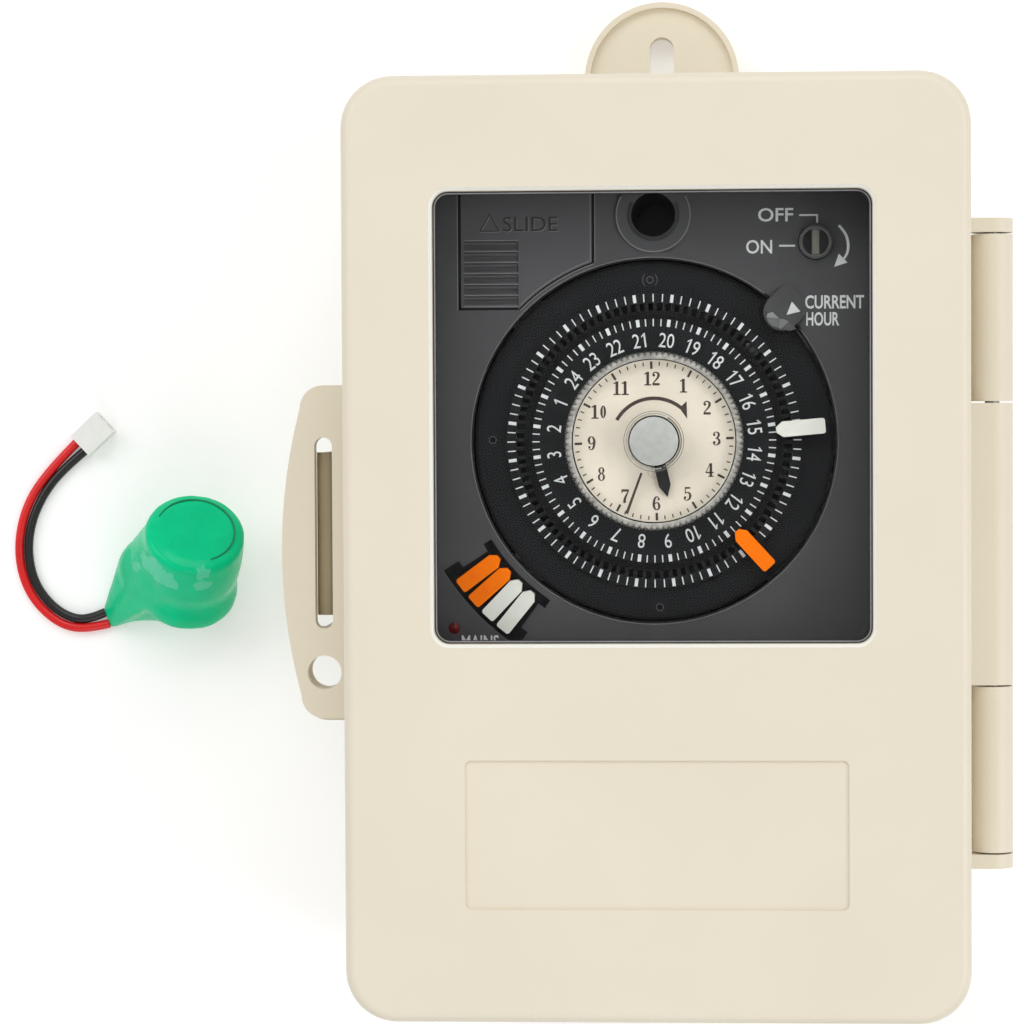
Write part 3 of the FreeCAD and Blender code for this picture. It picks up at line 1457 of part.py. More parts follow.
def make_battery_pack():
    film = film_thick.number
    gap = film_gap.number
    height = FILM_SIDE[-1][1]
    edge = cell_edge.number
    radius = cell_radius.number
    step = cell_height.number
    rest = (radius + film - edge) * math.sin(math.radians(pack_tilt.number))
    turn = FreeCAD.Rotation(FreeCAD.Vector(0, 0, 1), pack_lean.number)
    turn = turn.multiply(FreeCAD.Rotation(FreeCAD.Vector(1, 0, 0), -pack_tilt.number))
    seat = FreeCAD.Placement(FreeCAD.Vector(pack_x.number, pack_y.number, rest), turn)
    ring = film_ring.number
    crown = height + film_ring_height.number
    skin = turned_solid(FILM_SIDE, [
        FILM_SIDE[-1], (ring, height), (ring, crown), (0, crown), (0, 0), FILM_SIDE[0]])
    skin.Placement = seat
    inner = radius + gap
    joint = film + step
    low = film - gap
    high = film + step * CELLS + gap
    hollow = turned_solid([], [
        (0, low), (inner - edge, low), (inner, low + edge), (inner, joint - edge),
        (inner - edge + gap, joint), (inner, joint + edge), (inner, high - edge),
        (inner - edge, high), (0, high), (0, low)])
    hollow.Placement = seat
    tail = Part.makeLoft([oval(*section) for section in TAIL_SECTIONS], True)
    sleeve = skin.fuse(tail).cut(hollow)
    new_feature("battery_sleeve", max(sleeve.Solids, key=lambda solid: solid.Volume))
    cells = []
    for index in range(CELLS):
        low = film + step * index
        high = low + step
        cell = turned_solid([], [
            (0, low), (radius - edge, low), (radius, low + edge), (radius, high - edge),
            (radius - edge, high), (0, high), (0, low)])
        cell.Placement = seat
        cells.append(cell)
    new_feature("battery_cells", Part.makeCompound(cells))
    make_lead("lead_red", RED_ROUTE)
    make_lead("lead_black", BLACK_ROUTE)

    body = new_body("plug_housing")
    half = plug_wide / 2
    sketch = new_sketch(body, "XY_Plane", 0)
    add_rectangle(sketch, 0, -half, plug_long, half)
    pad(body, sketch, plug_tall)
    sketch = new_sketch(body, "YZ_Plane", plug_long - plug_mouth)
    reach = plug_mouth_half
    for side in (-1, 1):
        way = plug_way * side
        add_rectangle(sketch, way - reach, plug_tall / 2 - reach, way + reach,
                      plug_tall / 2 + reach)
    cut_up(body, sketch, plug_mouth)
    place(body, PLUG_CENTRE[0], PLUG_CENTRE[1], 0, PLUG_TURN)
    body = new_body("plug_contacts")
    sketch = new_sketch(body, "YZ_Plane", plug_long - plug_mouth)
    for side in (-1, 1):
        way = plug_way * side
        add_rectangle(sketch, way - contact_half_wide, plug_tall / 2 - contact_half_tall,
                      way + contact_half_wide, plug_tall / 2 + contact_half_tall)
    pad(body, sketch, contact_length)
    place(body, PLUG_CENTRE[0], PLUG_CENTRE[1], 0, PLUG_TURN)


def check_and_write():
    doc.recompute()
    faults = [item.Name for item in doc.Objects
              if "Invalid" in item.State or "Error" in item.State]
    for node in nodes:
        if node.Shape.isNull() or not node.Shape.isValid():
            faults.append(node.Label)
    if faults:
        raise RuntimeError("not built: %s" % ", ".join(faults))
    os.makedirs("parts", exist_ok=True)
    for node in nodes:
        node.Shape.exportStep("parts/%s.step" % node.Label)
        box = node.Shape.BoundBox
        print("%-24s solids %2d volume %9.2f x %7.2f %7.2f y %7.2f %7.2f z %6.2f %6.2f" % (
            node.Label, len(node.Shape.Solids), node.Shape.Volume,
            box.XMin, box.XMax, box.YMin, box.YMax, box.ZMin, box.ZMax))


make_rear_case()
make_case_walls()
make_hanging_ear()
make_door()
make_door_walls()
make_door_parts()
make_latch()
make_module_case()
make_face_plate()
make_time_index()
make_battery_cover()
make_program_dial()
make_clock_parts()
make_movement()
make_switch_parts()
make_board_and_terminals()
make_setters()
make_battery_pack()
check_and_write()
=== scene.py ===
# %% [markdown]
# A wall box with a clock timer behind its window, and the loose battery pack beside it.
# The imported model already holds the box, the dial and the works at their real sizes.
# This lesson adds what a solid can't: finishes, printed marks, shrink film and limp leads.
# The first step loads the model.

# %% Load the frame
import math

import bmesh
import bpy
from mathutils import Euler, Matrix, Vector


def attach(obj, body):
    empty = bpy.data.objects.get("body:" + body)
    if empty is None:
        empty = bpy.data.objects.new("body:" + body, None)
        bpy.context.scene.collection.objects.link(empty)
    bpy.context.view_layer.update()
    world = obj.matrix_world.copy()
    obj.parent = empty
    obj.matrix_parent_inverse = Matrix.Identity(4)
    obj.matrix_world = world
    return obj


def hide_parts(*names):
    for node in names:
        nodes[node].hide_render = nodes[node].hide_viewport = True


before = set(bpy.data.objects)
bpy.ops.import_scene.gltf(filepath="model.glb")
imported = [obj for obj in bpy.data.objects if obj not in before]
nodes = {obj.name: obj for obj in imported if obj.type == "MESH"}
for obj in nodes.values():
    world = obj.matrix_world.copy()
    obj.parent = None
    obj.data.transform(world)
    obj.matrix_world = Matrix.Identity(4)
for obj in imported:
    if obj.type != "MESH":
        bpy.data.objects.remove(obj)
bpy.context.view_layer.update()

MM = 0.001

# %% [markdown]
# The photograph looks straight down on the box as it lies on its back, from about 60 cm.
# A long lens from nearly overhead gives the small lean of the sides, so no lens shift is needed.
# The picture's long side is its height of 1024 pixels, and Blender's sensor width is that side.

# %% Camera
PICTURE_SIDE = 1024
FOCAL_PIXELS = 3226
SENSOR_WIDTH = 36
CLIP_NEAR, CLIP_FAR = 0.05, 20
CAMERA_PLACE = (4.11 * MM, 22.74 * MM, 601.92 * MM)
CAMERA_TURN = (-1.774, 3.081, -0.206)


def new_object(name, data):
    """An object of its own in the scene."""
    made = bpy.data.objects.new(name, data)
    bpy.context.scene.collection.objects.link(made)
    return made


camera_data = bpy.data.cameras.new("camera")
camera_data.sensor_width = SENSOR_WIDTH
camera_data.lens = FOCAL_PIXELS * SENSOR_WIDTH / PICTURE_SIDE
camera_data.clip_start = CLIP_NEAR
camera_data.clip_end = CLIP_FAR
camera = new_object("camera", camera_data)
camera.location = CAMERA_PLACE
camera.rotation_mode = "QUATERNION"
tilt_x, tilt_y, tilt_z = (math.radians(a) for a in CAMERA_TURN)
camera.rotation_quaternion = (
    Euler((tilt_x, 0, 0)).to_quaternion()
    @ Euler((0, tilt_y, 0)).to_quaternion()
    @ Euler((0, 0, tilt_z)).to_quaternion()
)
bpy.context.scene.camera = camera
bpy.context.scene.view_settings.view_transform = "Standard"
print("camera lens", round(camera_data.lens, 1), "mm")

# %% [markdown]
# A finish is a small tree of nodes: a mottle varies the colour over centimetres, another varies
# the shine, and a fine grain bends the light as the moulded or rolled skin does.
# One builder with plain values makes most of them, so that each finish reads as a short line.

# %% Finish builder
NOISE_LOW, NOISE_HIGH = 0.3, 0.7
ROUGH_SPREAD = 0.06
GRAIN_STRENGTH = 0.6
SHADOW_BLEND = 0.1


def linear(colour):
    """The linear colour of a 0 to 255 screen colour."""
    parts = [c / 255 for c in colour]
    return [c / 12.92 if c <= 0.04045 else ((c + 0.055) / 1.055) ** 2.4 for c in parts] + [1]


def shade(colour, factor):
    return [min(1, c * factor) for c in colour[:3]] + [1]


def feed(tree, node, values):
    """Sets a node's inputs and settings by name. An input takes a value or another's output."""
    for key, value in values.items():
        if key not in node.inputs:
            setattr(node, key, value)
        elif isinstance(value, bpy.types.NodeSocket):
            tree.links.new(value, node.inputs[key])
        else:
            node.inputs[key].default_value = value
    return node


def add_node(tree, kind, **values):
    return feed(tree, tree.nodes.new(kind), values)


def calculate(tree, operation, first, second):
    """The result of a sum, product or maximum of two outputs."""
    node = add_node(tree, "ShaderNodeMath", operation=operation)
    tree.links.new(first, node.inputs[0])
    tree.links.new(second, node.inputs[1])
    return node.outputs["Value"]


def object_noise(tree, scale, detail=3.0):
    """A noise over the piece itself, scale in cells per metre."""
    place = tree.nodes.get("place") or add_node(tree, "ShaderNodeTexCoord", name="place")
    return add_node(tree, "ShaderNodeTexNoise", Vector=place.outputs["Object"],
                    Scale=scale, Detail=detail).outputs["Fac"]


def between(tree, factor, low, high, start=NOISE_LOW, end=NOISE_HIGH):
    """A number from low to high as factor goes from start to end."""
    ends = {"From Min": start, "From Max": end, "To Min": low, "To Max": high}
    return add_node(tree, "ShaderNodeMapRange", Value=factor, **ends).outputs["Result"]


def mottled(tree, tone, spread, patch):
    """A colour that varies round a tone, patch in cells per metre."""
    node = add_node(tree, "ShaderNodeValToRGB", Fac=object_noise(tree, patch))
    dark, light = node.color_ramp.elements
    dark.position, dark.color = NOISE_LOW, shade(tone, 1 - spread)
    light.position, light.color = NOISE_HIGH, shade(tone, 1 + spread)
    return node.outputs["Color"]


def new_material(name):
    """A material, its nodes and its surface node."""
    material = bpy.data.materials.new(name)
    material.use_nodes = True
    tree = material.node_tree
    return material, tree, tree.nodes["Principled BSDF"]


def finish(name, colour, rough, mottle=0.1, patch=300, grain=4000, depth=0.01,
           metallic=0.0, specular=0.5):
    """A mottled, grained finish. patch and grain are cells per metre, depth is in millimetres."""
    material, tree, skin = new_material(name)
    rough_noise = object_noise(tree, patch * 5)
    bump = add_node(tree, "ShaderNodeBump", Height=object_noise(tree, grain, 2),
                    Strength=GRAIN_STRENGTH, Distance=depth * MM)
    feed(tree, skin, {
        "Base Color": mottled(tree, linear(colour), mottle, patch),
        "Roughness": between(tree, rough_noise, rough - ROUGH_SPREAD, rough + ROUGH_SPREAD),
        "Normal": bump.outputs["Normal"],
        "Metallic": metallic,
        "Specular IOR Level": specular,
    })
    return material


def darken_below(material, name, level, factor):
    """Darkens a node's finish below a level in millimetres, where its pockets and wells lie."""
    tree = material.node_tree
    skin = tree.nodes["Principled BSDF"]
    own_level = level * MM - nodes[name].matrix_world.translation.z
    place = tree.nodes["place"].outputs["Object"]
    height = add_node(tree, "ShaderNodeSeparateXYZ", Vector=place).outputs["Z"]
    shadow = add_node(
        tree, "ShaderNodeHueSaturation", Color=skin.inputs["Base Color"].links[0].from_socket,
        Value=between(tree, height, factor, 1, own_level - SHADOW_BLEND * MM, own_level))
    feed(tree, skin, {"Base Color": shadow.outputs["Color"]})


def dress(material, *names):
    """Gives CAD nodes one finish."""
    for name in names:
        slots = nodes[name].data.materials
        slots.clear()
        slots.append(material)


# %% [markdown]
# The pieces that the lesson adds are meshes in millimetres. Most are a skin over rungs: the
# points of a small section, set down again and again along a line or round a circle.

# %% Piece builder
def on_circle(radius, turn, x=0.0, y=0.0):
    """A place at a turn in degrees round a centre."""
    turn = math.radians(turn)
    return (x + radius * math.cos(turn), y + radius * math.sin(turn))


def vertex(mesh, x, y, z):
    return mesh.verts.new((x * MM, y * MM, z * MM))


def loft(mesh, rungs, closed=False):
    """A skin over rungs of points, closed into a loop or with a cap at either end."""
    pairs = list(zip(rungs, rungs[1:]))
    if closed:
        pairs.append((rungs[-1], rungs[0]))
    for a, b in pairs:
        for k in range(len(a)):
            mesh.faces.new((a[k - 1], a[k], b[k], b[k - 1]))
    if not closed:
        mesh.faces.new(rungs[0][::-1])
        mesh.faces.new(rungs[-1])


def finish_piece(name, mesh, body, material):
    """Turns a bmesh into an object that rides a body."""
    bmesh.ops.recalc_face_normals(mesh, faces=mesh.faces)
    data = bpy.data.meshes.new(name)
    mesh.to_mesh(data)
    mesh.free()
    data.materials.append(material)
    piece = new_object(name, data)
    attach(piece, body)
    return piece


# %% [markdown]
# The pack's two leads are thin stranded wires in soft vinyl, about 5 cm long, red outside and
# black inside. They leave the film's gathered end together, curl round and end in a small plug.
# A lead is one smooth curve with a round section. Its points follow the solid's route, drawn
# together between the two ends until the leads lie side by side.

# %% Leads
RED_ROUTE = [(-103.21, -16.57), (-106.3, -17.3), (-110.35, -17.4), (-114.05, -15.68),
             (-117.95, -11.64), (-120.09, -6.15), (-120.25, 0.19), (-118.28, 6.79),
             (-113.87, 12.81), (-108.9, 17.7)]
BLACK_ROUTE = [(-103.99, -14.43), (-106.96, -15.77), (-110.49, -15.59), (-114.31, -13.22),
               (-117.44, -8.9), (-118.64, -3.41), (-118.02, 2.31), (-115.65, 7.67),
               (-112.05, 12.25), (-107.4, 16.1)]
LEAD_LEVEL = 0.87
LEAD_RADIUS = 0.85
LEAD_FINENESS, LEAD_SIDES = 16, 8


def make_lead(name, route, material):
    """A round cord along a route on the floor."""
    curve = bpy.data.curves.new(name, "CURVE")
    curve.dimensions = "3D"
    line = curve.splines.new("NURBS")
    line.points.add(len(route) - 1)
    for point, (x, y) in zip(line.points, route):
        point.co = (x * MM, y * MM, LEAD_LEVEL * MM, 1)
    line.order_u = 3
    line.use_endpoint_u = True
    line.resolution_u = LEAD_FINENESS
    curve.bevel_depth = LEAD_RADIUS * MM
    curve.bevel_resolution = LEAD_SIDES
    curve.use_fill_caps = True
    curve.materials.append(material)
    lead = new_object(name, curve)
    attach(lead, "battery_pack")
    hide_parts(name.replace("wire", "lead"))
    x, y = route[0]


red_vinyl = finish("red_vinyl", (226, 22, 26), 0.32, mottle=0.08, grain=5000)
black_vinyl = finish("black_vinyl", (26, 24, 26), 0.32, mottle=0.15, grain=5000)
make_lead("wire_red", RED_ROUTE, red_vinyl)
make_lead("wire_black", BLACK_ROUTE, black_vinyl)

# %% [markdown]
# The light is a studio's: a pale room that fills the shadows, and large soft boxes that shape
# the mouldings. The room gives about half of the light, so that colours render as written.
# The floor reads white to the camera and in glass and metal, and keeps the shadows. Further
# out, where the soft boxes don't reach, it glows a little more, so that it stays white.

# %% Light and floor
WHITE = (1, 1, 1, 1)
ROOM_LIGHT = 0.48
BOX_SIDE = 0.9
BOX_TARGET = Vector((0, 0, 0.03))
SOFT_BOXES = (  # name, place in metres, watts
    ("box_left", (-1.04, 0.65, 1.04), 6),
    ("box_right", (1.17, -0.13, 1.04), 7),
    ("box_top", (0.1, 1.17, 1.17), 6),
    ("box_low", (0.0, -1.17, 0.91), 3.5),
)
FLOOR_HALF = 2.5
FLOOR_TONE = (0.86, 0.86, 0.86, 1)
FLOOR_ROUGH = 0.9
NEAR_GLOW, FAR_GLOW = 0.28, 1.0
GLOW_START, GLOW_END = 0.35, 1.5

world = bpy.data.worlds.new("room")
bpy.context.scene.world = world
world.use_nodes = True
room = world.node_tree
sight = add_node(room, "ShaderNodeLightPath").outputs["Is Camera Ray"]
feed(room, room.nodes["Background"],
     {"Color": WHITE, "Strength": between(room, sight, ROOM_LIGHT, 1, 0, 1)})

for name, place, power in SOFT_BOXES:
    light = bpy.data.lights.new(name, "AREA")
    light.shape = "SQUARE"
    light.size = BOX_SIDE
    light.energy = power
    lamp = new_object(name, light)
    lamp.location = place
    lamp.rotation_mode = "QUATERNION"
    lamp.rotation_quaternion = (BOX_TARGET - lamp.location).to_track_quat("-Z", "Y")

floor_mesh = bpy.data.meshes.new("floor")
floor_corners = [(x * FLOOR_HALF, y * FLOOR_HALF, 0)
                 for x, y in ((-1, -1), (1, -1), (1, 1), (-1, 1))]
floor_mesh.from_pydata(floor_corners, [], [(0, 1, 2, 3)])
floor = new_object("floor", floor_mesh)
floor_paint, tree, skin = new_material("floor_paint")
rays = add_node(tree, "ShaderNodeLightPath").outputs
clear_sight = calculate(tree, "MAXIMUM", rays["Is Camera Ray"], rays["Is Transmission Ray"])
any_sight = calculate(tree, "MAXIMUM", clear_sight, rays["Is Glossy Ray"])
floor_place = add_node(tree, "ShaderNodeTexCoord").outputs["Object"]
far = add_node(tree, "ShaderNodeVectorMath", operation="LENGTH", Vector=floor_place)
glow = between(tree, far.outputs["Value"], NEAR_GLOW, FAR_GLOW, GLOW_START, GLOW_END)
feed(tree, skin, {
    "Base Color": FLOOR_TONE,
    "Roughness": FLOOR_ROUGH,
    "Specular IOR Level": 0.0,
    "Emission Color": WHITE,
    "Emission Strength": calculate(tree, "MULTIPLY", any_sight, glow),
})
floor_mesh.materials.append(floor_paint)
print("soft boxes", len(SOFT_BOXES))

# %% [markdown]
# The box and its door are moulded in a warm beige plastic with a fine even texture. Its edges
# and flanges are the same plastic, so one finish covers them all. The latch arm's finish is a
# little rougher and painted darker, as painted shade for the slot that it lies in.

# %% Case plastic
dress(finish("beige_plastic", (232, 223, 203), 0.42, mottle=0.02, patch=25, grain=3200,
             depth=0.012), "rear_case", "case_walls", "hanging_ear", "door", "door_walls")
# The latch arm's darker colour is painted shade.
dress(finish("latch_shaded_plastic", (196, 182, 152), 0.45, mottle=0.03, patch=40, grain=3200,
             depth=0.012), "latch_arm")
print("case dressed")

# %% [markdown]
# The window is a clear pane in a thin black seal. Clear plastic is a shader that lets light
# through, and for lamps a see-through one, or the dial behind it would lie in the dark.
# Its reflections are held back, because the photograph shows none in the pane.

# %% Clear plastics
CLEAR_IOR = 1.49
CLEAR_GLARE = (0.1, 0.1, 0.1, 1)
CLEAR_MOTTLE = 0.015
CLEAR_PATCH = 40


def clear(name, tint):
    """A clear plastic of a linear tint."""
    material, tree, skin = new_material(name)
    feed(tree, skin, {
        "Base Color": mottled(tree, tint, CLEAR_MOTTLE, CLEAR_PATCH),
        "Transmission Weight": 1,
        "IOR": CLEAR_IOR,
        "Specular Tint": CLEAR_GLARE,
        "Roughness": 0,
    })
    lamp_ray = add_node(tree, "ShaderNodeLightPath").outputs["Is Shadow Ray"]
    open_way = add_node(tree, "ShaderNodeBsdfTransparent", Color=tint)
    mix = add_node(tree, "ShaderNodeMixShader", Fac=lamp_ray)
    tree.links.new(skin.outputs["BSDF"], mix.inputs[1])
    tree.links.new(open_way.outputs["BSDF"], mix.inputs[2])
    feed(tree, tree.nodes["Material Output"], {"Surface": mix.outputs["Shader"]})
    return material


dress(clear("pane_clear", (0.995, 1, 0.995, 1)), "window_pane")
dress(clear("disc_clear", (0.98, 0.98, 0.97, 1)), "minute_disc")
dress(finish("seal_rubber", (24, 24, 24), 0.6, mottle=0.15, patch=200),
      "window_seal", "door_gasket")
print("window dressed")

# %% [markdown]
# A pale ring on the opening's bevel is a painted highlight all round, and a thin grey line on the
# seal is a painted highlight along the pane's edge. Each is a ring of a small section swept round
# the rounded opening.

# %% Opening trim
OPENING_X, OPENING_Y = -0.5, 21.8
OPENING_HALF_X, OPENING_HALF_Y = 36.0, 37.2
OPENING_CORNER = 2.6
CORNER_PARTS = 8
GLINT_SECTION = ((0.04, 73.42), (0.02, 73.46), (0.54, 73.98), (0.56, 73.94))
EDGE_SECTION = ((-0.2, 71.49), (-0.2, 71.53), (-0.42, 71.53), (-0.42, 71.49))


def opening_loop(offset):
    """Points round the opening, offset outwards."""
    loop = []
    for k, (side_x, side_y) in enumerate(((1, 1), (-1, 1), (-1, -1), (1, -1))):
        corner_x = OPENING_X + side_x * (OPENING_HALF_X - OPENING_CORNER)
        corner_y = OPENING_Y + side_y * (OPENING_HALF_Y - OPENING_CORNER)
        for part in range(CORNER_PARTS + 1):
            turn = 90 * (k + part / CORNER_PARTS)
            loop.append(on_circle(OPENING_CORNER + offset, turn, corner_x, corner_y))
    return loop


def opening_ring(name, section, material):
    """A ring round the opening. Its section is a row of offsets and levels."""
    ring = bmesh.new()
    loops = [[vertex(ring, x, y, level) for x, y in opening_loop(offset)]
             for offset, level in section]
    loft(ring, loops, closed=True)
    finish_piece(name, ring, "door", material)


# Painted highlights: a pale one on the bevel, a grey one along the pane's edge.
glint_beige = finish("glint_beige", (252, 250, 240), 0.3, mottle=0.02, patch=30, grain=3200)
pane_edge_highlight = finish("pane_edge_highlight", (150, 150, 154), 0.3, depth=0.002)
opening_ring("opening_glint", GLINT_SECTION, glint_beige)
opening_ring("pane_edge", EDGE_SECTION, pane_edge_highlight)
print("opening trim")

# %% [markdown]
# Behind the pane the face plate is a dark grey plastic with a fine spark-eroded skin, and its
# battery cover is the same. The dial is a blacker, smoother plastic. The light hardly reaches
# into slots and wells, so these finishes are darker below the upper side of their node.

# %% Dark plastics
COVER_FLOOR = 59.92
DIAL_FLOOR = 57.5
KNOB_FLOOR = 61.0


def face_plastic(name, colour):
    return finish(name, colour, 0.5, mottle=0.05, patch=50, grain=5200, specular=0.3)


face_grey = face_plastic("face_grey", (69, 69, 71))
darken_below(face_grey, "face_plate", COVER_FLOOR, factor=0.06)
dress(face_grey, "face_plate")
cover_grey = face_plastic("cover_grey", (75, 74, 77))
darken_below(cover_grey, "battery_cover", COVER_FLOOR, factor=0.72)
dress(cover_grey, "battery_cover")
dress(face_plastic("index_grey", (68, 68, 70)), "time_index")
dial_black = finish("dial_black", (25, 26, 28), 0.5, mottle=0.08, patch=80, grain=5200,
                    depth=0.002, specular=0.14)
darken_below(dial_black, "program_dial", DIAL_FLOOR, factor=0.12)
dress(dial_black, "program_dial")
dress(finish("hand_black", (34, 32, 34), 0.45, mottle=0.08, patch=200, grain=5200,
             depth=0.002, specular=0.3), "hour_hand")
dress(finish("module_black", (28, 28, 29), 0.5, patch=60, grain=3600, depth=0.02),
      "module_case", "terminal_block")
knob_grey = finish("knob_grey", (66, 67, 67), 0.4, mottle=0.08, patch=200, grain=5000)
darken_below(knob_grey, "on_off_knob", KNOB_FLOOR, factor=0.08)
dress(knob_grey, "on_off_knob")
print("dark plastics")

# %% [markdown]
# The clock face is a matt cream card, the cap over its hub has a thin silver coat, and the
# setters are bright plain plastics.

# %% Clock and setters
dress(finish("face_cream", (236, 226, 211), 0.6, mottle=0.02, patch=90, grain=5200,
             depth=0.004), "clock_face")
dress(finish("cap_silver", (200, 202, 198), 0.38, mottle=0.06, patch=900, grain=9000,
             metallic=0.7), "knob_cap")
dress(finish("setter_orange", (255, 120, 0), 0.4, mottle=0.04, grain=5000, depth=0.008,
             specular=0.1),
      "setter_orange_on_dial", "stored_setter_orange_1", "stored_setter_orange_2",
      "switch_button")
dress(finish("setter_white", (228, 229, 220), 0.4, mottle=0.03, grain=5000, depth=0.008),
      "setter_white_on_dial", "stored_setter_white_1", "stored_setter_white_2")
dress(finish("lamp_red", (96, 14, 16), 0.15, patch=400, grain=3000, depth=0.002),
      "power_lamp")
print("clock and setters")

# %% [markdown]
# The works lie behind the face plate, in plain steel, brass and pale bearing plastic. The pins,
# the cells and the plug are outside it and share the same finishes.

# %% Works
dress(finish("steel", (176, 176, 172), 0.32, mottle=0.08, patch=150, metallic=1),
      "hinge_pin", "latch_pin", "terminal_screws", "terminal_clamps",
      "plug_contacts", "battery_cells", "trip_lever", "plate_pillars")
dress(finish("brass", (196, 162, 96), 0.3, mottle=0.08, patch=200, metallic=1),
      "minute_arbor", "motor_pinion")
dress(finish("acetal", (222, 221, 212), 0.4, mottle=0.04, patch=200),
      "hour_wheel", "motion_wheel", "dial_idler", "centre_tube", "switch_cam", "movement_plate")
dress(finish("board_green", (30, 92, 52), 0.35, mottle=0.2, patch=400, grain=2500),
      "circuit_board")
dress(finish("part_dark", (34, 34, 38), 0.35, mottle=0.15),
      "board_parts", "drive_motor", "micro_switch", "module_screws")
dress(finish("plug_nylon", (246, 246, 243), 0.35, mottle=0.03, patch=600, grain=6000),
      "plug_housing")
print("works dressed")

# %% [markdown]
# The prints are ink on plastic, and beside them are marks of painted highlight and painted shade.
# All are raised by a few hundredths of a millimetre. Each mark is a thin closed prism: a patch for
# a solid shape, a strip for rings, arcs and strokes, or built-in type.
# Marks of one colour on one body are gathered into a piece, drawn in millimetres.

# %% Printing tools
INK_SINK, INK_RISE = 0.01, 0.03
TYPE_SQUEEZE = 0.8
TYPE_FINENESS = 3
DOT_SIDES, RING_SIDES = 20, 28
STROKE_PARTS = 4
WELD_REACH = 0.0001


class Print:
    """Marks on a level, gathered into one piece. They rise above it and start a little below."""

    def __init__(self, level, rise=INK_RISE, sink=INK_SINK):
        self.mesh = bmesh.new()
        self.low = level - sink
        self.high = level + rise
        self.ground = None
        self.at(0, 0)

    def at(self, x, y, turn=0.0, size=1.0):
        """Says where the next marks go: origin, turn in degrees, and size of their unit."""
        turn = math.radians(turn)
        self.place = (x, y, size * math.cos(turn), size * math.sin(turn))
        return self

    def put(self, across, along, level):
        x, y, c, s = self.place
        x, y = x + across * c - along * s, y + across * s + along * c
        if self.ground:
            level += self.ground(x, y)
        return vertex(self.mesh, x, y, level)

    def patch(self, points):
        low = [self.put(x, y, self.low) for x, y in points]
        high = [self.put(x, y, self.high) for x, y in points]
        loft(self.mesh, [low, high])

    def strip(self, left, right, closed=False):
        loft(self.mesh, [[self.put(ax, ay, self.low), self.put(ax, ay, self.high),
                          self.put(bx, by, self.high), self.put(bx, by, self.low)]
                         for (ax, ay), (bx, by) in zip(left, right)], closed)

    def bar(self, x0, y0, x1, y1):
        self.patch([(x0, y0), (x1, y0), (x1, y1), (x0, y1)])

    def bars(self, *rows):
        """Bars, each a row of left, low, right and high."""
        for row in rows:
            self.bar(*row)
        return self

    def dot(self, x, y, radius):
        self.patch([on_circle(radius, 360 * k / DOT_SIDES, x, y) for k in range(DOT_SIDES)])

    def ring(self, outer_x, outer_y, side, end, x=0.0, y=0.0):
        """An oval ring: its outer half sizes, and how wide it is at its sides and ends."""
        turns = [2 * math.pi * k / RING_SIDES for k in range(RING_SIDES)]
        outer, inner = [
            [(x + half_x * math.cos(t), y + half_y * math.sin(t)) for t in turns]
            for half_x, half_y in ((outer_x, outer_y), (outer_x - side, outer_y - end))]
        self.strip(outer, inner, closed=True)

    def arc(self, radius, width, start, stop, step=3.0):
        count = max(2, int(abs(stop - start) / step))
        turns = [start + (stop - start) * k / count for k in range(count + 1)]
        self.strip([on_circle(radius + width / 2, t) for t in turns],
                   [on_circle(radius - width / 2, t) for t in turns])

    def arcs(self, x, y, *rows):
        """Arcs round a centre, each a row of radius, width, start, stop and maybe a step."""
        self.at(x, y)
        for row in rows:
            self.arc(*row)
        return self

    def stroke(self, points):
        """A stroke through points of x, y and width."""
        fine = rounded(points)
        left, right = [], []
        for k, (x, y, width) in enumerate(fine):
            ax, ay = fine[max(k - 1, 0)][:2]
            bx, by = fine[min(k + 1, len(fine) - 1)][:2]
            ahead = Vector((bx - ax, by - ay)).normalized() * width / 2
            left.append((x - ahead.y, y + ahead.x))
            right.append((x + ahead.y, y - ahead.x))
        self.strip(left, right)
        return self

    def words(self, body, tall, wide=None, bold=0.0):
        """Built-in type of a height: centred, or of a width from the start of its base line."""
        curve = bpy.data.curves.new("words", "FONT")
        curve.body = body
        curve.offset = bold
        curve.extrude = 0.5
        curve.resolution_u = TYPE_FINENESS
        holder = bpy.data.objects.new("words", curve)
        flat = bpy.data.meshes.new_from_object(holder)
        xs = [v.co.x for v in flat.vertices]
        ys = [v.co.y for v in flat.vertices]
        scale_y = tall / (max(ys) - min(ys))
        scale_x = wide / (max(xs) - min(xs)) if wide else scale_y * TYPE_SQUEEZE
        start_x = min(xs) if wide else (min(xs) + max(xs)) / 2
        start_y = min(ys) if wide else (min(ys) + max(ys)) / 2
        made = [self.put((v.co.x - start_x) * scale_x, (v.co.y - start_y) * scale_y,
                         self.high if v.co.z > 0 else self.low) for v in flat.vertices]
        for polygon in flat.polygons:
            corners = [made[k] for k in polygon.vertices]
            if len(set(corners)) > 2 and not self.mesh.faces.get(corners):
                self.mesh.faces.new(corners)
        bpy.data.objects.remove(holder)
        bpy.data.curves.remove(curve)
        bpy.data.meshes.remove(flat)

    def done(self, name, body, material, slot):
        bmesh.ops.remove_doubles(self.mesh, verts=self.mesh.verts, dist=WELD_REACH * MM)
        finish_piece(name, self.mesh, body, material)


def rounded(points):
    """More points on a smooth way through the given ones."""
    fine = []
    for k in range(len(points) - 1):
        around = [points[min(max(k + step, 0), len(points) - 1)] for step in (-1, 0, 1, 2)]
        for part in range(STROKE_PARTS):
            t = part / STROKE_PARTS
            fine.append(tuple(
                0.5 * (2 * q + (r - p) * t + (2 * p - 5 * q + 4 * r - s) * t * t
                       + (3 * q - p - 3 * r + s) * t ** 3)
                for p, q, r, s in zip(*around)))
    fine.append(points[-1])
    return fine


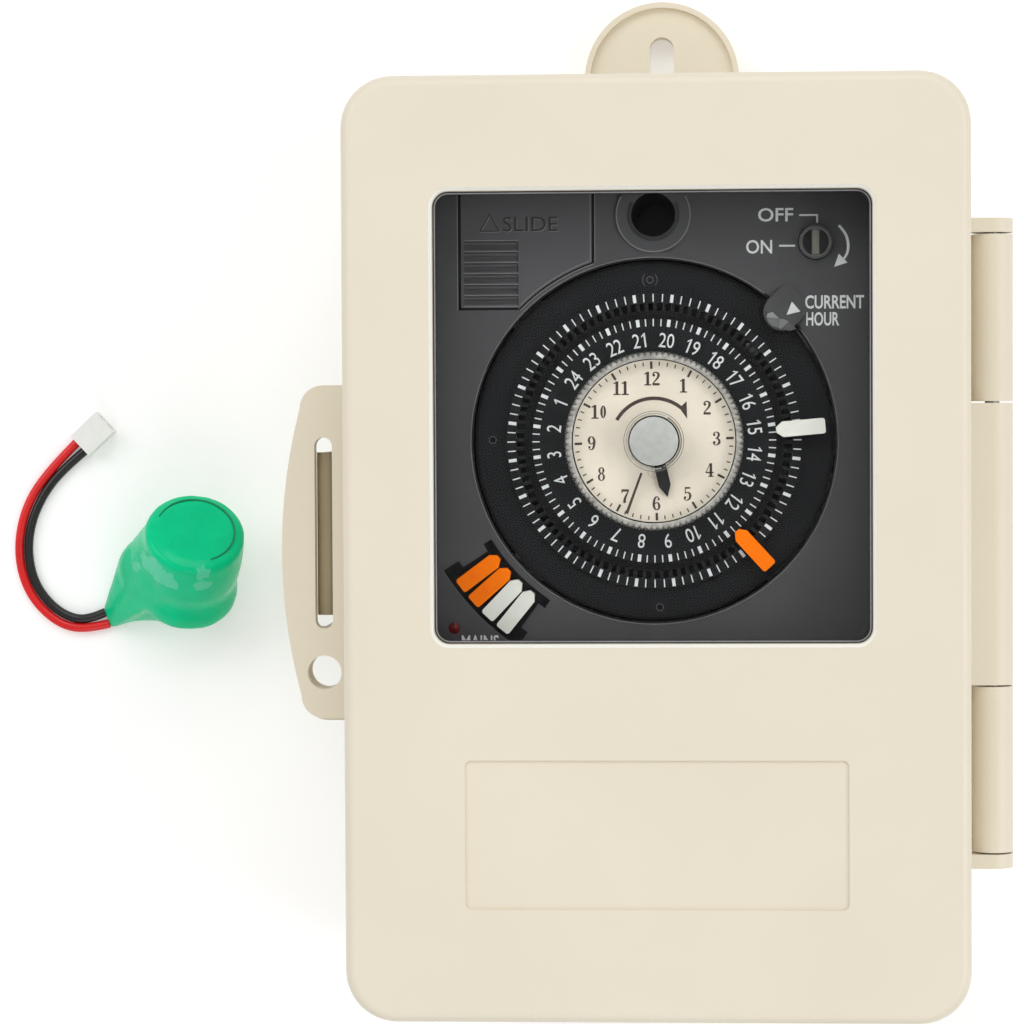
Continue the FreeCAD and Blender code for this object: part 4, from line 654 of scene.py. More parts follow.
ink_white = finish("ink_white", (212, 216, 216), 0.5, mottle=0.04, patch=900, grain=6000,
                   depth=0.004)
ink_brown = finish("ink_brown", (66, 52, 44), 0.55, patch=900, grain=6000, depth=0.004)
# Line finishes: the black one for painted shadow and shade, and for the dial's pips; the light
# grey one for painted highlights; the dark grey one for painted shade.
line_black = finish("line_black", (16, 16, 17), 0.6, depth=0.002, specular=0.1)
highlight_grey = finish("highlight_grey", (112, 113, 113), 0.5, depth=0.002, specular=0.3)
shade_grey = finish("shade_grey", (48, 49, 50), 0.5, depth=0.002, specular=0.2)
print("inks ready")

# %% [markdown]
# The dial carries two rings of 96 marks, one beside each slot and one inside them, with a broad
# mark on each hour, and the hours 1 to 24 that run anticlockwise with their tops outwards.
# Painted shade lies in black bands on its edge and on the inner ends of its slots. Its ring has
# two pips and a boss.

# %% Dial print
DIAL_X, DIAL_Y = -0.3, 17.8
DIAL_TOP = 58.4
DIAL_RING = 57.6
HOURS = 24
MARKS = 96
POINTER_TURN = 46
SHOWN_HOUR = 17.554
OUTER_MARK, INNER_MARK = (23.34, 24.68), (19.26, 20.47)
OUTER_HALF, INNER_HALF, FINE_HALF = 0.27, 0.29, 0.095
HOUR_RADIUS = 16.97
DIGIT_TALL = 2.4
DIGIT_STEP = 1.34
ONE_STEM = (-0.02, -DIGIT_TALL / 2, 0.26, DIGIT_TALL / 2)
ONE_FLAG = [(0.1, DIGIT_TALL / 2), (-0.4, 0.75), (-0.4, 0.48), (0.1, 0.9)]
EDGE_BAND = (29.83, 0.36, 0, 360, 1)
SLOT_BAND = (21.2, 1.4, 0, 360, 2)
BOSS = (-0.9, 44.85)
BOSS_ARCS = ((0.55, 0.2, 0, 360, 20), (1.25, 0.16, -50, 50, 20), (1.25, 0.16, 130, 230, 20))
PIPS = ((0.57, -10.25), (-27.51, 18.06))
PIP_RADIUS = 0.42
PIP_ARC = (0.6, 0.14, 0, 360, 20)


def hour_turn(hour):
    """Where an hour stands on the dial, degrees from +X anticlockwise."""
    return POINTER_TURN + (hour - SHOWN_HOUR) * 360 / HOURS


dial_print = Print(DIAL_TOP)
for k in range(MARKS):
    dial_print.at(DIAL_X, DIAL_Y, hour_turn(k * HOURS / MARKS))
    on_hour = k % (MARKS // HOURS) == 0
    for (inner, outer), broad in ((OUTER_MARK, OUTER_HALF), (INNER_MARK, INNER_HALF)):
        half = broad if on_hour else FINE_HALF
        dial_print.bar(inner, -half, outer, half)
for hour in range(1, HOURS + 1):
    turn = hour_turn(hour)
    digits = str(hour)
    for place, digit in enumerate(digits):
        shift = (place - (len(digits) - 1) / 2) * DIGIT_STEP
        x, y = on_circle(HOUR_RADIUS, turn, DIAL_X, DIAL_Y)
        dial_print.at(*on_circle(shift, turn - 90, x, y), turn - 90)
        if digit == "1":
            dial_print.bar(*ONE_STEM)
            dial_print.patch(ONE_FLAG)
        else:
            dial_print.words(digit, DIGIT_TALL)
dial_print.done("dial_print", "dial", ink_white, "setter_white")

# Black bands of painted shade on the dial's edge and at the inner ends of its slots.
dial_edge = Print(DIAL_TOP, 0.02)
dial_edge.arcs(DIAL_X, DIAL_Y, EDGE_BAND, SLOT_BAND)
dial_edge.done("dial_edge", "dial", line_black, "dial_black")
dial_pips = Print(DIAL_RING)
dial_boss = Print(DIAL_RING, 0.06)
for x, y in PIPS:
    dial_pips.dot(x, y, PIP_RADIUS)
    dial_boss.arcs(x, y, PIP_ARC)
dial_boss.arcs(*BOSS, *BOSS_ARCS)
dial_pips.done("dial_pips", "dial", line_black, "dial_black")
boss_grey = finish("boss_grey", (66, 66, 68), 0.45, depth=0.002, specular=0.3)
dial_boss.done("dial_boss", "dial", boss_grey, "dial_black")
print("dial print with", HOURS, "hours")

# %% [markdown]
# The clock's numerals are an old slab-serif face, which the built-in type can't give.
# Each digit is drawn in a box 0.58 wide and 1 high from bars, dots, rings and swelling strokes.
# The 9 is the 6 upside down.

# %% Clock print
NUMERALS = {
    "0": [("ring", 0.21, 0.46, 0.17, 0.07, 0.3, 0.5)],
    "1": [("bar", 0.2, 0.06, 0.4, 1), ("bar", 0.04, 0, 0.56, 0.09),
          ("stroke", (0.3, 0.97, 0.05), (0.18, 0.88, 0.09), (0.05, 0.84, 0.08))],
    "2": [("dot", 0.14, 0.74, 0.1), ("bar", 0.04, 0, 0.56, 0.17),
          ("stroke", (0.08, 0.78, 0.1), (0.14, 0.92, 0.09), (0.3, 0.96, 0.09), (0.46, 0.86, 0.16),
           (0.48, 0.7, 0.18), (0.38, 0.5, 0.13), (0.2, 0.3, 0.09), (0.07, 0.12, 0.08))],
    "3": [("dot", 0.13, 0.78, 0.09), ("dot", 0.13, 0.22, 0.1),
          ("stroke", (0.07, 0.82, 0.06), (0.16, 0.95, 0.07), (0.3, 0.97, 0.07), (0.44, 0.88, 0.14),
           (0.44, 0.68, 0.15), (0.3, 0.54, 0.07), (0.22, 0.53, 0.06)),
          ("stroke", (0.24, 0.53, 0.06), (0.36, 0.5, 0.09), (0.49, 0.37, 0.16), (0.48, 0.18, 0.17),
           (0.3, 0.03, 0.07), (0.14, 0.06, 0.07), (0.07, 0.16, 0.07))],
    "4": [("stroke", (0.36, 0.99, 0.05), (0.05, 0.34, 0.06)), ("bar", 0.02, 0.27, 0.6, 0.37),
          ("bar", 0.32, 0.05, 0.5, 1), ("bar", 0.22, 0, 0.6, 0.08)],
    "5": [("bar", 0.12, 0.86, 0.52, 0.99), ("bar", 0.12, 0.5, 0.19, 0.95),
          ("dot", 0.13, 0.22, 0.095),
          ("stroke", (0.15, 0.52, 0.06), (0.3, 0.6, 0.08), (0.46, 0.52, 0.14), (0.51, 0.34, 0.18),
           (0.44, 0.12, 0.14), (0.28, 0.03, 0.07), (0.13, 0.06, 0.07), (0.07, 0.16, 0.07))],
    "6": [("dot", 0.46, 0.79, 0.085),
          ("stroke", (0.5, 0.88, 0.05), (0.36, 0.97, 0.07), (0.2, 0.88, 0.13), (0.12, 0.6, 0.17),
           (0.11, 0.3, 0.17), (0.2, 0.08, 0.12), (0.32, 0.03, 0.07), (0.45, 0.1, 0.13),
           (0.5, 0.29, 0.17), (0.44, 0.48, 0.12), (0.32, 0.55, 0.07), (0.2, 0.46, 0.07),
           (0.15, 0.38, 0.06))],
    "7": [("bar", 0.06, 0.82, 0.58, 0.99), ("bar", 0.04, 0.7, 0.11, 0.97),
          ("stroke", (0.54, 0.86, 0.07), (0.44, 0.66, 0.1), (0.32, 0.4, 0.15), (0.27, 0.2, 0.18),
           (0.27, 0, 0.19))],
    "8": [("ring", 0.22, 0.24, 0.14, 0.06, 0.3, 0.76),
          ("ring", 0.26, 0.28, 0.15, 0.06, 0.3, 0.28)],
}
CLOCK_TOP = 59.5
CLOCK_TURN = 1.9
NUMERAL_RADIUS = 10.45
NUMERAL_TALL = 2.3
NUMERAL_WIDE = 0.58
NUMERAL_STEP = 0.6
FIVE_MARK = (12.07, -0.2, 13.33, 0.2)
MINUTE_MARK = (12.61, -0.1, 13.28, 0.1)
ARROW_ARC = (7.15, 0.6, 150.5, 51)
ARROW_HEAD = [(5.56, 3.68), (5.47, 6.62), (4.26, 5.5)]
MINUTE_LEVEL = 60.6
MINUTE_LINE = [(-2.6, 12.5), (-2.23, 12.4), (-4.7, 5.55), (-5.15, 5.72)]

clock_print = Print(CLOCK_TOP)


def numeral(digit, x, y):
    """One digit with its lower left corner at a place."""
    if digit == "9":
        clock_print.at(x + NUMERAL_WIDE * NUMERAL_TALL, y + NUMERAL_TALL, 180, NUMERAL_TALL)
    else:
        clock_print.at(x, y, 0, NUMERAL_TALL)
    for kind, *values in NUMERALS["6" if digit == "9" else digit]:
        if kind == "stroke":
            clock_print.stroke(values)
        else:
            getattr(clock_print, kind)(*values)


for hour in range(1, 13):
    x, y = on_circle(NUMERAL_RADIUS, 90 + CLOCK_TURN - hour * 30, DIAL_X, DIAL_Y)
    digits = str(hour)
    width = (NUMERAL_WIDE + NUMERAL_STEP * (len(digits) - 1)) * NUMERAL_TALL
    for place, digit in enumerate(digits):
        numeral(digit, x - width / 2 + place * NUMERAL_STEP * NUMERAL_TALL, y - NUMERAL_TALL / 2)
for minute in range(60):
    clock_print.at(DIAL_X, DIAL_Y, 90 + CLOCK_TURN - minute * 6)
    clock_print.bar(*(MINUTE_MARK if minute % 5 else FIVE_MARK))
clock_print.arcs(DIAL_X, DIAL_Y, ARROW_ARC).patch(ARROW_HEAD)
clock_print.done("clock_print", "base", ink_brown, "part_dark")

minute_line = Print(MINUTE_LEVEL, 0.06, sink=0)
minute_line.patch(MINUTE_LINE)
minute_line.done("minute_line", "minute", ink_brown, "part_dark")
print("clock print")

# %% [markdown]
# White words and signs on the face plate tell what the switch, the pointer and the lamp are for.
# They are plain words of this lesson's own, in places and sizes like those of the photograph.
# Those beside the pointer climb the ramp that it stands on.

# %% Plate print
PLATE_TOP = 60.0
PLATE_WORDS = (  # left, base line, height, width, boldness
    ("OFF", 17.19, 54.3, 2.28, 5.84, 0.012),
    ("ON", 15.18, 48.98, 2.3, 4.34, 0.012),
    ("CURRENT", 24.99, 39.72, 2.28, 9.8, 0.02),
    ("HOUR", 25.15, 36.89, 2.3, 5.5, 0.02),
    ("MAINS", -32.78, -16.95, 2.2, 6.25, 0.01),
)
SWITCH_LINES = ((24.03, 55.2, 27.16, 55.5), (26.86, 54.05, 27.16, 55.3),
                (20.68, 50.12, 23.35, 50.42))
TURN_ARROW = [(30.62, 53.6, 0.4), (31.75, 52.1, 0.44), (32.17, 50.34, 0.46), (31.95, 48.9, 0.4),
              (31.3, 47.9, 0.34)]
TURN_HEAD = [(29.83, 46.69), (32.05, 47.4), (30.6, 48.9)]
POINTER_HEAD = [(22.76, 40.94), (24.17, 39.28), (21.87, 38.73)]
POINTER_HALF = 3.1
POINTER_END = 34.5
CREST_ALONG, CREST_LEVEL = 28.6, 61.7
OUTER_SLOPE, INNER_SLOPE = 0.288, 0.0444


def pointer_place(x, y):
    """How far along and across the pointer a place lies, from the dial's centre."""
    x, y = x - DIAL_X, y - DIAL_Y
    return (x + y) / math.sqrt(2), (y - x) / math.sqrt(2)


def pointer_level(x, y):
    """The height of the pointer's upper side."""
    past_crest = pointer_place(x, y)[0] - CREST_ALONG
    return CREST_LEVEL - past_crest * (OUTER_SLOPE if past_crest > 0 else -INNER_SLOPE)


def over_plate(x, y):
    """How far the pointer's ramp rises above the plate at a place."""
    along, across = pointer_place(x, y)
    on_ramp = abs(across) < POINTER_HALF and along < POINTER_END
    return max(0, pointer_level(x, y) - PLATE_TOP) if on_ramp else 0


plate_print = Print(PLATE_TOP)
plate_print.bars(*SWITCH_LINES).stroke(TURN_ARROW).patch(TURN_HEAD)
plate_print.ground = over_plate
plate_print.patch(POINTER_HEAD)
for body, left, base, tall, wide, bold in PLATE_WORDS:
    plate_print.at(left, base).words(body, tall, wide, bold)
plate_print.done("plate_print", "base", ink_white, "setter_white")
print("plate print with", len(PLATE_WORDS), "words")

# %% [markdown]
# The battery cover lies in a gap, which a black line of painted shadow marks, and a light line of
# painted highlight runs along its edge and round the rim of the dial opening. Its word is sunk,
# which is painted as dark strokes of shade with a light lower edge of highlight, and so are its
# grips. The collar round the fixing screw's well has a painted highlight on its rim and painted
# shade inside.

# %% Cover lines
LINE_RISE, LINE_SINK = 0.012, -0.003
GAP_BARS = ((-33.02, 39.9, -32.56, 62.0), (-33.0, 39.88, -22.9, 40.24),
            (-10.6, 47.75, -10.16, 60.0))
GAP_ARC = (31.56, 0.26, 135.45, 108.52)
RIM_BARS = ((-33.2, 39.9, -33.06, 61.0), (-10.14, 47.7, -10.02, 60.0))
RIM_ARCS = ((31.34, 0.12, 135.45, 108.52), (30.75, 0.16, 53, 397))
COLLAR = (DIAL_X, 55.6)
COLLAR_TOP = 60.5
COLLAR_RIM, COLLAR_SHADE = (6.16, 0.2, 150, 390), (4.1, 0.6, 150, 390)
GRIPS = 7
GRIP_LOW, GRIP_PITCH = 40.52, 1.835
GRIP_HIGHLIGHT = (-32.1, -0.08, -22.9, 0.06)
GRIP_SHADE = (-32.0, -0.36, -22.95, -0.09)
GRIP_END = (-23.15, 0.08 - GRIP_PITCH, -22.95, -0.36)
EDGE_BAR = (-10.9, 47.9, -10.78, 60.0)
EDGE_ARC = (32.0, 0.12, 134.45, 109.52)
SLIDE_PLACE, SLIDE_SIZE = (-25.5, 52.98), (2.5, 9.25)
ARROW_CORNERS = ((-27.67, 55.9, 0.22), (-29.3, 53.1, 0.22), (-26.1, 53.1, 0.22))

# A black line of painted shadow in the cover's gap, then lines of painted highlight.
cover_gap = Print(PLATE_TOP, LINE_RISE, LINE_SINK).bars(*GAP_BARS)
cover_gap.arcs(DIAL_X, DIAL_Y, GAP_ARC)
cover_gap.done("cover_gap", "base", line_black, "face_grey")
cover_rim = Print(PLATE_TOP, LINE_RISE, LINE_SINK).bars(*RIM_BARS)
cover_rim.arcs(DIAL_X, DIAL_Y, *RIM_ARCS)
cover_rim.done("cover_rim", "base", highlight_grey, "face_grey")
# A painted highlight on the collar's rim and painted shade inside it.
collar_rim = Print(COLLAR_TOP, 0.02).arcs(*COLLAR, COLLAR_RIM)
collar_rim.done("collar_rim", "base", highlight_grey, "face_grey")
collar_shade = Print(COLLAR_TOP).arcs(*COLLAR, COLLAR_SHADE)
collar_shade.done("collar_shade", "base", shade_grey, "face_grey")

# Painted highlights and painted shade of the grips, of the sunk word and its arrow, and a painted
# highlight on the cover's edge.
cover_highlights = Print(PLATE_TOP, 0.01, -0.002)
cover_shade = Print(PLATE_TOP, 0.022, -0.014)
for k in range(GRIPS):
    base = GRIP_LOW + k * GRIP_PITCH
    cover_highlights.at(0, base).bar(*GRIP_HIGHLIGHT)
    if k > 0:
        cover_shade.at(0, base).bars(GRIP_SHADE, GRIP_END)
cover_highlights.at(0, 0).bar(*EDGE_BAR)
cover_highlights.arcs(DIAL_X, DIAL_Y, EDGE_ARC)
for marks, shift_x, shift_y in ((cover_highlights, 0.09, -0.1), (cover_shade, 0, 0)):
    x, y = SLIDE_PLACE
    marks.at(x + shift_x, y + shift_y).words("SLIDE", *SLIDE_SIZE, bold=0.004)
    marks.at(shift_x, shift_y)
    for corner, following in zip(ARROW_CORNERS, ARROW_CORNERS[1:] + ARROW_CORNERS[:1]):
        marks.stroke([corner, following])
cover_highlights.done("cover_highlights", "battery_cover", highlight_grey, "face_grey")
cover_shade.done("cover_shade", "battery_cover", shade_grey, "face_grey")
print("cover lines with", GRIPS, "grips")

# %% [markdown]
# The pointer's nose has a painted shadow under its rim and a small faceted arrow head that
# points at the hour. Each facet's tone of grey is painted light and shade, for how that facet
# catches the light.

# %% Pointer facets
NOSE_RADIUS = 30.3
NOSE_LEVEL, NOSE_RISE = 60.62, 0.28
NOSE_ARCS = ((3.5, 0.8, 142, 218), (3.5, 0.8, 244, 313))
FACET_SINK, FACET_RISE = 0.02, 0.15
FACETS = (
    ("facet_light", (134, 138, 134),
     ((18.5, 38.3), (18.68, 38.95), (19.5, 39.2), (20.62, 38.1))),
    ("facet_mid", (98, 100, 99),
     ((18.55, 38.24), (20.6, 38.06), (20.4, 36.62), (19.4, 36.9), (18.75, 37.6))),
    ("facet_soft", (112, 112, 111),
     ((20.68, 38.05), (20.48, 36.6), (20.9, 36.34), (22.2, 37.6), (21.4, 38.0))),
    ("facet_dark", (68, 69, 69), ((22.28, 37.52), (23.5, 36.36), (22.4, 36.06), (21.05, 36.3))),
)
shadow_rim = Print(NOSE_LEVEL, NOSE_RISE, sink=0)
shadow_rim.arcs(*on_circle(NOSE_RADIUS, 45, DIAL_X, DIAL_Y), *NOSE_ARCS)
shadow_rim.done("index_shadow", "base", line_black, "dial_black")
# The facets' tones are painted light and shade.
for name, tone, corners in FACETS:
    facet = Print(0, FACET_RISE, FACET_SINK)
    facet.ground = pointer_level
    facet.patch(corners)
    facet_finish = finish(name, tone, 0.4, mottle=0.06, patch=900, grain=6000, depth=0.004)
    facet.done(name, "base", facet_finish, "face_grey")
print("pointer facets", len(FACETS))

# %% [markdown]
# The switch is a round knob with a bar across its well. The bar is a lighter grey, and the
# knob's rim carries a painted highlight.

# %% Knob bar
KNOB = (26.7, 50.8)
KNOB_TOP = 61.2
KNOB_BAR = (-0.5, -2.0, 0.55, 2.0)
KNOB_ARC = (2.34, 0.16, 20, 380)
knob_bar = Print(KNOB_TOP).at(*KNOB).bars(KNOB_BAR)
bar_grey = finish("bar_grey", (116, 115, 106), 0.35, mottle=0.15, patch=500, grain=5000)
knob_bar.done("knob_bar", "manual_knob", bar_grey, "face_grey")
# A painted highlight round the knob's rim.
knob_ring = Print(KNOB_TOP, 0.02).arcs(*KNOB, KNOB_ARC)
knob_rim_highlight = finish("knob_rim_highlight", (98, 99, 98), 0.35, mottle=0.15, patch=500, grain=5000)
knob_ring.done("knob_ring", "manual_knob", knob_rim_highlight, "face_grey")
print("knob bar")

# %% [markdown]
# The clear minute disc is turned by its fluted rim. The flutes are frosted by their own moulding,
# so the rim reads as a light grey ring around the clock face. A dark mark of painted shade lies
# in the gap between each two flutes.

# %% Fluted rim
FLUTES = 92
RIM_PARTS = 4
GAP_LEVEL, GAP_RISE = 61.6, 0.24
FLUTE_GAP = [(14.25, 0), (15.0, -0.2), (15.0, 0.2)]


def rim_section(wave):
    """Radii and levels round the rim's section, for a wave from 0 in a gap to 1 on a flute."""
    outside = 14.68 + 0.26 * wave
    return [(14.3, 61.0), (outside, 61.0), (outside, 61.4), (14.6, 61.62 + 0.14 * wave),
            (14.05, 61.68 + 0.12 * wave), (13.75, 61.6), (13.75, 61.48)]


rim = bmesh.new()
rungs = []
for k in range(FLUTES * RIM_PARTS):
    turn = 360 * k / (FLUTES * RIM_PARTS)
    section = rim_section(0.5 + 0.5 * math.cos(2 * math.pi * k / RIM_PARTS))
    rungs.append([vertex(rim, *on_circle(radius, turn, DIAL_X, DIAL_Y), level)
                  for radius, level in section])
loft(rim, rungs, closed=True)
frosted = finish("frosted_rim", (160, 158, 151), 0.25, mottle=0.25, patch=700, grain=3000,
                 depth=0.02, specular=0.7)
finish_piece("fluted_rim", rim, "minute", frosted)
# Painted shade in the gaps between the flutes.
flute_gaps = Print(GAP_LEVEL, GAP_RISE, sink=0)
for k in range(FLUTES):
    flute_gaps.at(DIAL_X, DIAL_Y, 360 * (k + 0.5) / FLUTES).patch(FLUTE_GAP)
flute_shade = finish("flute_shade", (74, 73, 71), 0.4, mottle=0.2, patch=700, grain=3000, depth=0.004)
flute_gaps.done("flute_gaps", "minute", flute_shade, "clear_plastic")
print("fluted rim with", FLUTES, "flutes")

# %% [markdown]
# The disc's clear hub shows as fine painted rings around the silver cap: painted shade, darker
# on the right, where the hub's wall lies edge-on to the camera, a painted highlight on the left,
# and a painted shadow inside on the right. A small clear lug sits under it, drawn as a painted
# highlight.

# %% Hub rings
HUB_TOP = 64.8
HUB_DARK_ARCS = ((4.98, 0.11, 0, 360), (4.55, 0.22, -70, 60))
HUB_PALE_ARC = (4.62, 0.18, 64, 286)
HUB_SHADOW_RADIUS = 4.13
HUB_SHADOW = ((-66, 0.05), (-45, 0.1), (-20, 0.13), (5, 0.17), (30, 0.18), (52, 0.12), (72, 0.04))
LUG_LEVEL, LUG_RISE = 60.7, 0.08
LUG_LINE = [(-1.34, 13.0, 0.08), (-1.23, 12.23, 0.08), (-0.75, 11.75, 0.08), (-0.16, 11.63, 0.08),
            (0.2, 11.75, 0.08)]
# Painted shade, painted highlights and a painted shadow stand for the clear hub's wall.
hub_shade = finish("hub_shade", (128, 124, 114), 0.3, patch=500, depth=0.004)
hub_highlight = finish("hub_highlight", (172, 169, 158), 0.3, patch=500, depth=0.004)
hub_dark = Print(HUB_TOP).arcs(DIAL_X, DIAL_Y, *HUB_DARK_ARCS)
hub_dark.done("hub_dark", "minute", hub_shade, "clear_plastic")
hub_pale = Print(HUB_TOP, 0.02).arcs(DIAL_X, DIAL_Y, HUB_PALE_ARC)
hub_pale.done("hub_pale", "minute", hub_highlight, "clear_plastic")
hub_shadow = Print(HUB_TOP, 0.04).at(DIAL_X, DIAL_Y)
hub_shadow.stroke([(*on_circle(HUB_SHADOW_RADIUS, turn), width) for turn, width in HUB_SHADOW])
hub_shadow.done("hub_shadow", "minute", line_black, "part_dark")
lug = Print(LUG_LEVEL, LUG_RISE, sink=0).stroke(LUG_LINE)
lug.done("hub_lug", "minute", hub_highlight, "clear_plastic")
print("hub rings")

# %% [markdown]
# A setter is a small moulding with soft edges. The bevel only rounds what the solid has sharp.
# The two stored orange ones show a raised sign, a plain small ring.

# %% Setters
SETTERS = ("setter_white_on_dial", "setter_orange_on_dial", "stored_setter_orange_1",
           "stored_setter_orange_2", "stored_setter_white_1", "stored_setter_white_2")
SOFT_EDGE = 0.16
SHARP_ANGLE = 35
SEAM_REACH = 0.001
SIGN_LEVEL = 60.09
SIGN_PLACES = ((-30.93, -4.92), (-28.91, -7.31))
SIGN_TURN = 38
SIGN_RING = (0.42, 0.5, 0.16, 0.14)

for name in SETTERS:
    weld = nodes[name].modifiers.new("weld", "WELD")
    weld.merge_threshold = SEAM_REACH * MM
    bevel = nodes[name].modifiers.new("soft", "BEVEL")
    bevel.width = SOFT_EDGE * MM
    bevel.segments = 2
    bevel.limit_method = "ANGLE"
    bevel.angle_limit = math.radians(SHARP_ANGLE)
    bevel.harden_normals = False
orange_deep = finish("orange_deep", (238, 92, 0), 0.4, mottle=0.04, grain=5000, depth=0.004,
                     specular=0.1)
for count, (x, y) in enumerate(SIGN_PLACES):
    sign = Print(SIGN_LEVEL, 0.04, sink=0).at(x, y, SIGN_TURN)
    sign.ring(*SIGN_RING)
    sign.done("setter_sign_" + str(count + 1), "stored_orange_" + str(count + 1), orange_deep,
              "setter_orange")
print("setters softened", len(SETTERS))

# %% [markdown]
# The pack's film is thin green vinyl. Painted reflections lie on it as pale patches with torn
# outlines: a distance from each patch's middle, with a noise added to it.

# %% Film finish
REFLECTION_TONE = (92, 214, 170)
REFLECTION_MOST = 0.85
REFLECTION_EDGE = 0.12
TORN_SCALE, TORN_DEPTH = 420, 1.1
REFLECTIONS = (  # middle and radius in millimetres
    ((-93.4, -3.7, 20.0), 1.9), ((-91.4, -5.2, 21.6), 2.2), ((-89.0, -7.2, 22.0), 2.0),
    ((-95.6, -4.7, 16.6), 1.3), ((-81.7, -6.4, 23.6), 1.2), ((-82.6, -8.8, 21.1), 1.3),
)
film_green = finish("film_green", (0, 206, 143), 0.22, mottle=0.06, patch=200, grain=900,
                    depth=0.02, specular=0.16)
tree = film_green.node_tree
skin = tree.nodes["Principled BSDF"]
film_place = tree.nodes["place"].outputs["Object"]
torn = between(tree, object_noise(tree, TORN_SCALE, 2), -TORN_DEPTH * MM, TORN_DEPTH * MM)
reflection = None
# Each patch is a painted reflection.
for middle, radius in REFLECTIONS:
    away = add_node(tree, "ShaderNodeVectorMath", operation="DISTANCE", Vector=film_place)
    away.inputs[1].default_value = [c * MM for c in middle]
    spot = between(tree, calculate(tree, "ADD", away.outputs["Value"], torn), REFLECTION_MOST, 0,
                   (radius - REFLECTION_EDGE) * MM, (radius + REFLECTION_EDGE) * MM)
    reflection = calculate(tree, "MAXIMUM", reflection, spot) if reflection else spot
reflected = add_node(tree, "ShaderNodeMix", data_type="RGBA", Factor=reflection)
# The node has an A, a B and a Result for each kind of value, so those of the colour go by number.
tree.links.new(skin.inputs["Base Color"].links[0].from_socket, reflected.inputs[6])
reflected.inputs[7].default_value = linear(REFLECTION_TONE)
feed(tree, skin, {"Base Color": reflected.outputs[2]})
print("film finish with", len(REFLECTIONS), "painted_reflections")

# %% [markdown]
# The film is a sleeve that was shrunk over the cells. Heat drew it smooth over their edges and
# stretched it flat from the upper rim down to the tail round the leads. The solid's outer skin,
# that stretched part and a core are joined, and then evened out and creased a little.

# %% Shrink film
PACK_SEAT = Vector((-87.8, -10.7, 5.73)) * MM
PACK_TURN = (Euler((0, 0, math.radians(-17))).to_matrix()
             @ Euler((math.radians(-43), 0, 0)).to_matrix())
TAIL_RADIUS, TAIL_LEVEL = 9.6, 9
DRAPE_RADIUS, DRAPE_HEIGHTS = 9.1, (8.5, 16.2)
DRAPE_TURNS = range(119, 260, 10)
CORE = ((8.2, 0.7), (8.9, 1.8), (8.95, 4.3), (8.66, 6.4), (8.95, 8.5), (9.0, 17.0), (8.5, 18.2))
CORE_SIDES = 72
FILM_VOXEL = 0.3
SMOOTH_FACTOR, SMOOTH_ROUNDS = 0.5, 24
FOLD_SIZE, FOLD_DEPTH = 4, 0.18


def on_pack(radius, turn, height):
    """A place on the pack from its own radius, turn and height in millimetres."""
    x, y = on_circle(radius, turn)
    return PACK_SEAT + PACK_TURN @ Vector((x, y, height)) * MM


def shells_of(mesh):
    """The parts of a mesh that hang together, each a set of vertices."""
    shells, left = [], set(mesh.verts)
    while left:
        shell, front = set(), [left.pop()]
        while front:
            seen = front.pop()
            shell.add(seen)
            fresh = {edge.other_vert(seen) for edge in seen.link_edges} & left
            left -= fresh
            front += fresh
        shells.append(shell)
    return shells


def width_of(shell):
    return max(v.co.x for v in shell) - min(v.co.x for v in shell)


sleeve = nodes["battery_sleeve"]
wrap = bmesh.new()
wrap.from_mesh(sleeve.data)
wrap.transform(sleeve.matrix_world)
bmesh.ops.remove_doubles(wrap, verts=wrap.verts, dist=SEAM_REACH * MM)
outer_shell = max(shells_of(wrap), key=width_of)
inside = [v for v in wrap.verts if v not in outer_shell]
bmesh.ops.delete(wrap, geom=inside, context="VERTS")

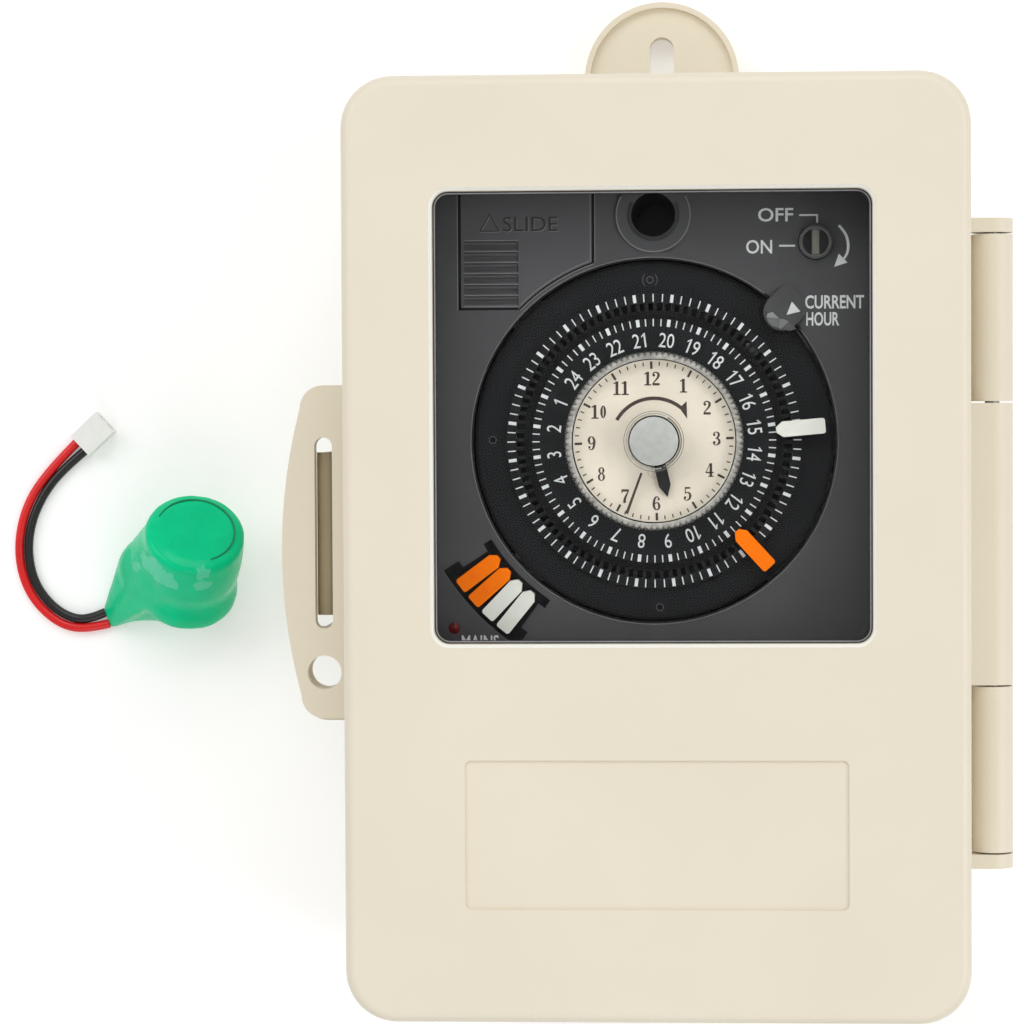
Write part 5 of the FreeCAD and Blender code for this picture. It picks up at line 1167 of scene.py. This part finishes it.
drape = []
for v in wrap.verts:
    own = PACK_TURN.inverted() @ (v.co - PACK_SEAT)
    if math.hypot(own.x, own.y) > TAIL_RADIUS * MM and v.co.z < TAIL_LEVEL * MM:
        drape.append(v.co.copy())
drape += [on_pack(DRAPE_RADIUS, turn, height) for turn in DRAPE_TURNS for height in DRAPE_HEIGHTS]
hull = bmesh.ops.convex_hull(wrap, input=[wrap.verts.new(place) for place in drape])
unused = {item for item in hull["geom_interior"] + hull["geom_unused"]
          if isinstance(item, bmesh.types.BMVert)}
bmesh.ops.delete(wrap, geom=list(unused), context="VERTS")
loft(wrap, [[wrap.verts.new(on_pack(radius, 360 * k / CORE_SIDES, height))
             for k in range(CORE_SIDES)] for radius, height in CORE])
film = finish_piece("film", wrap, "battery_pack", film_green)
weave = film.modifiers.new("even", "REMESH")
weave.mode = "VOXEL"
weave.voxel_size = FILM_VOXEL * MM
weave.use_smooth_shade = True
settle = film.modifiers.new("settle", "SMOOTH")
settle.factor = SMOOTH_FACTOR
settle.iterations = SMOOTH_ROUNDS
folds = bpy.data.textures.new("folds", "CLOUDS")
folds.noise_scale = FOLD_SIZE * MM
crease = film.modifiers.new("folds", "DISPLACE")
crease.texture = folds
crease.strength = FOLD_DEPTH * MM
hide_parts("battery_sleeve")
print("shrink film")

# %% [markdown]
# On the flat end the film's edge lies in a fold, a thin strip coloured with painted shade: a
# fine dark line round most of a circle, which is widest in its middle and thins out to both ends.

# %% Film fold
FOLD_RADIUS = 7.15
FOLD_HALF = 0.16
FOLD_START, FOLD_STEP, FOLD_RUNGS = 175, 5.6, 41
FOLD_CORNERS = ((-1, 18.7), (-1, 18.95), (1, 18.95), (1, 18.7))
# The fold's darker green is painted shade.
fold_green = finish("film_fold", (6, 128, 84), 0.3, patch=500, grain=3000, depth=0.004)
fold = bmesh.new()
rungs = []
for k in range(FOLD_RUNGS):
    half = FOLD_HALF * math.sin(math.pi * (k + 0.5) / FOLD_RUNGS) ** 0.5
    turn = FOLD_START - k * FOLD_STEP
    rungs.append([fold.verts.new(on_pack(FOLD_RADIUS + side * half, turn, height))
                  for side, height in FOLD_CORNERS])
loft(fold, rungs)
finish_piece("film_fold", fold, "battery_pack", fold_green)
print("film fold")
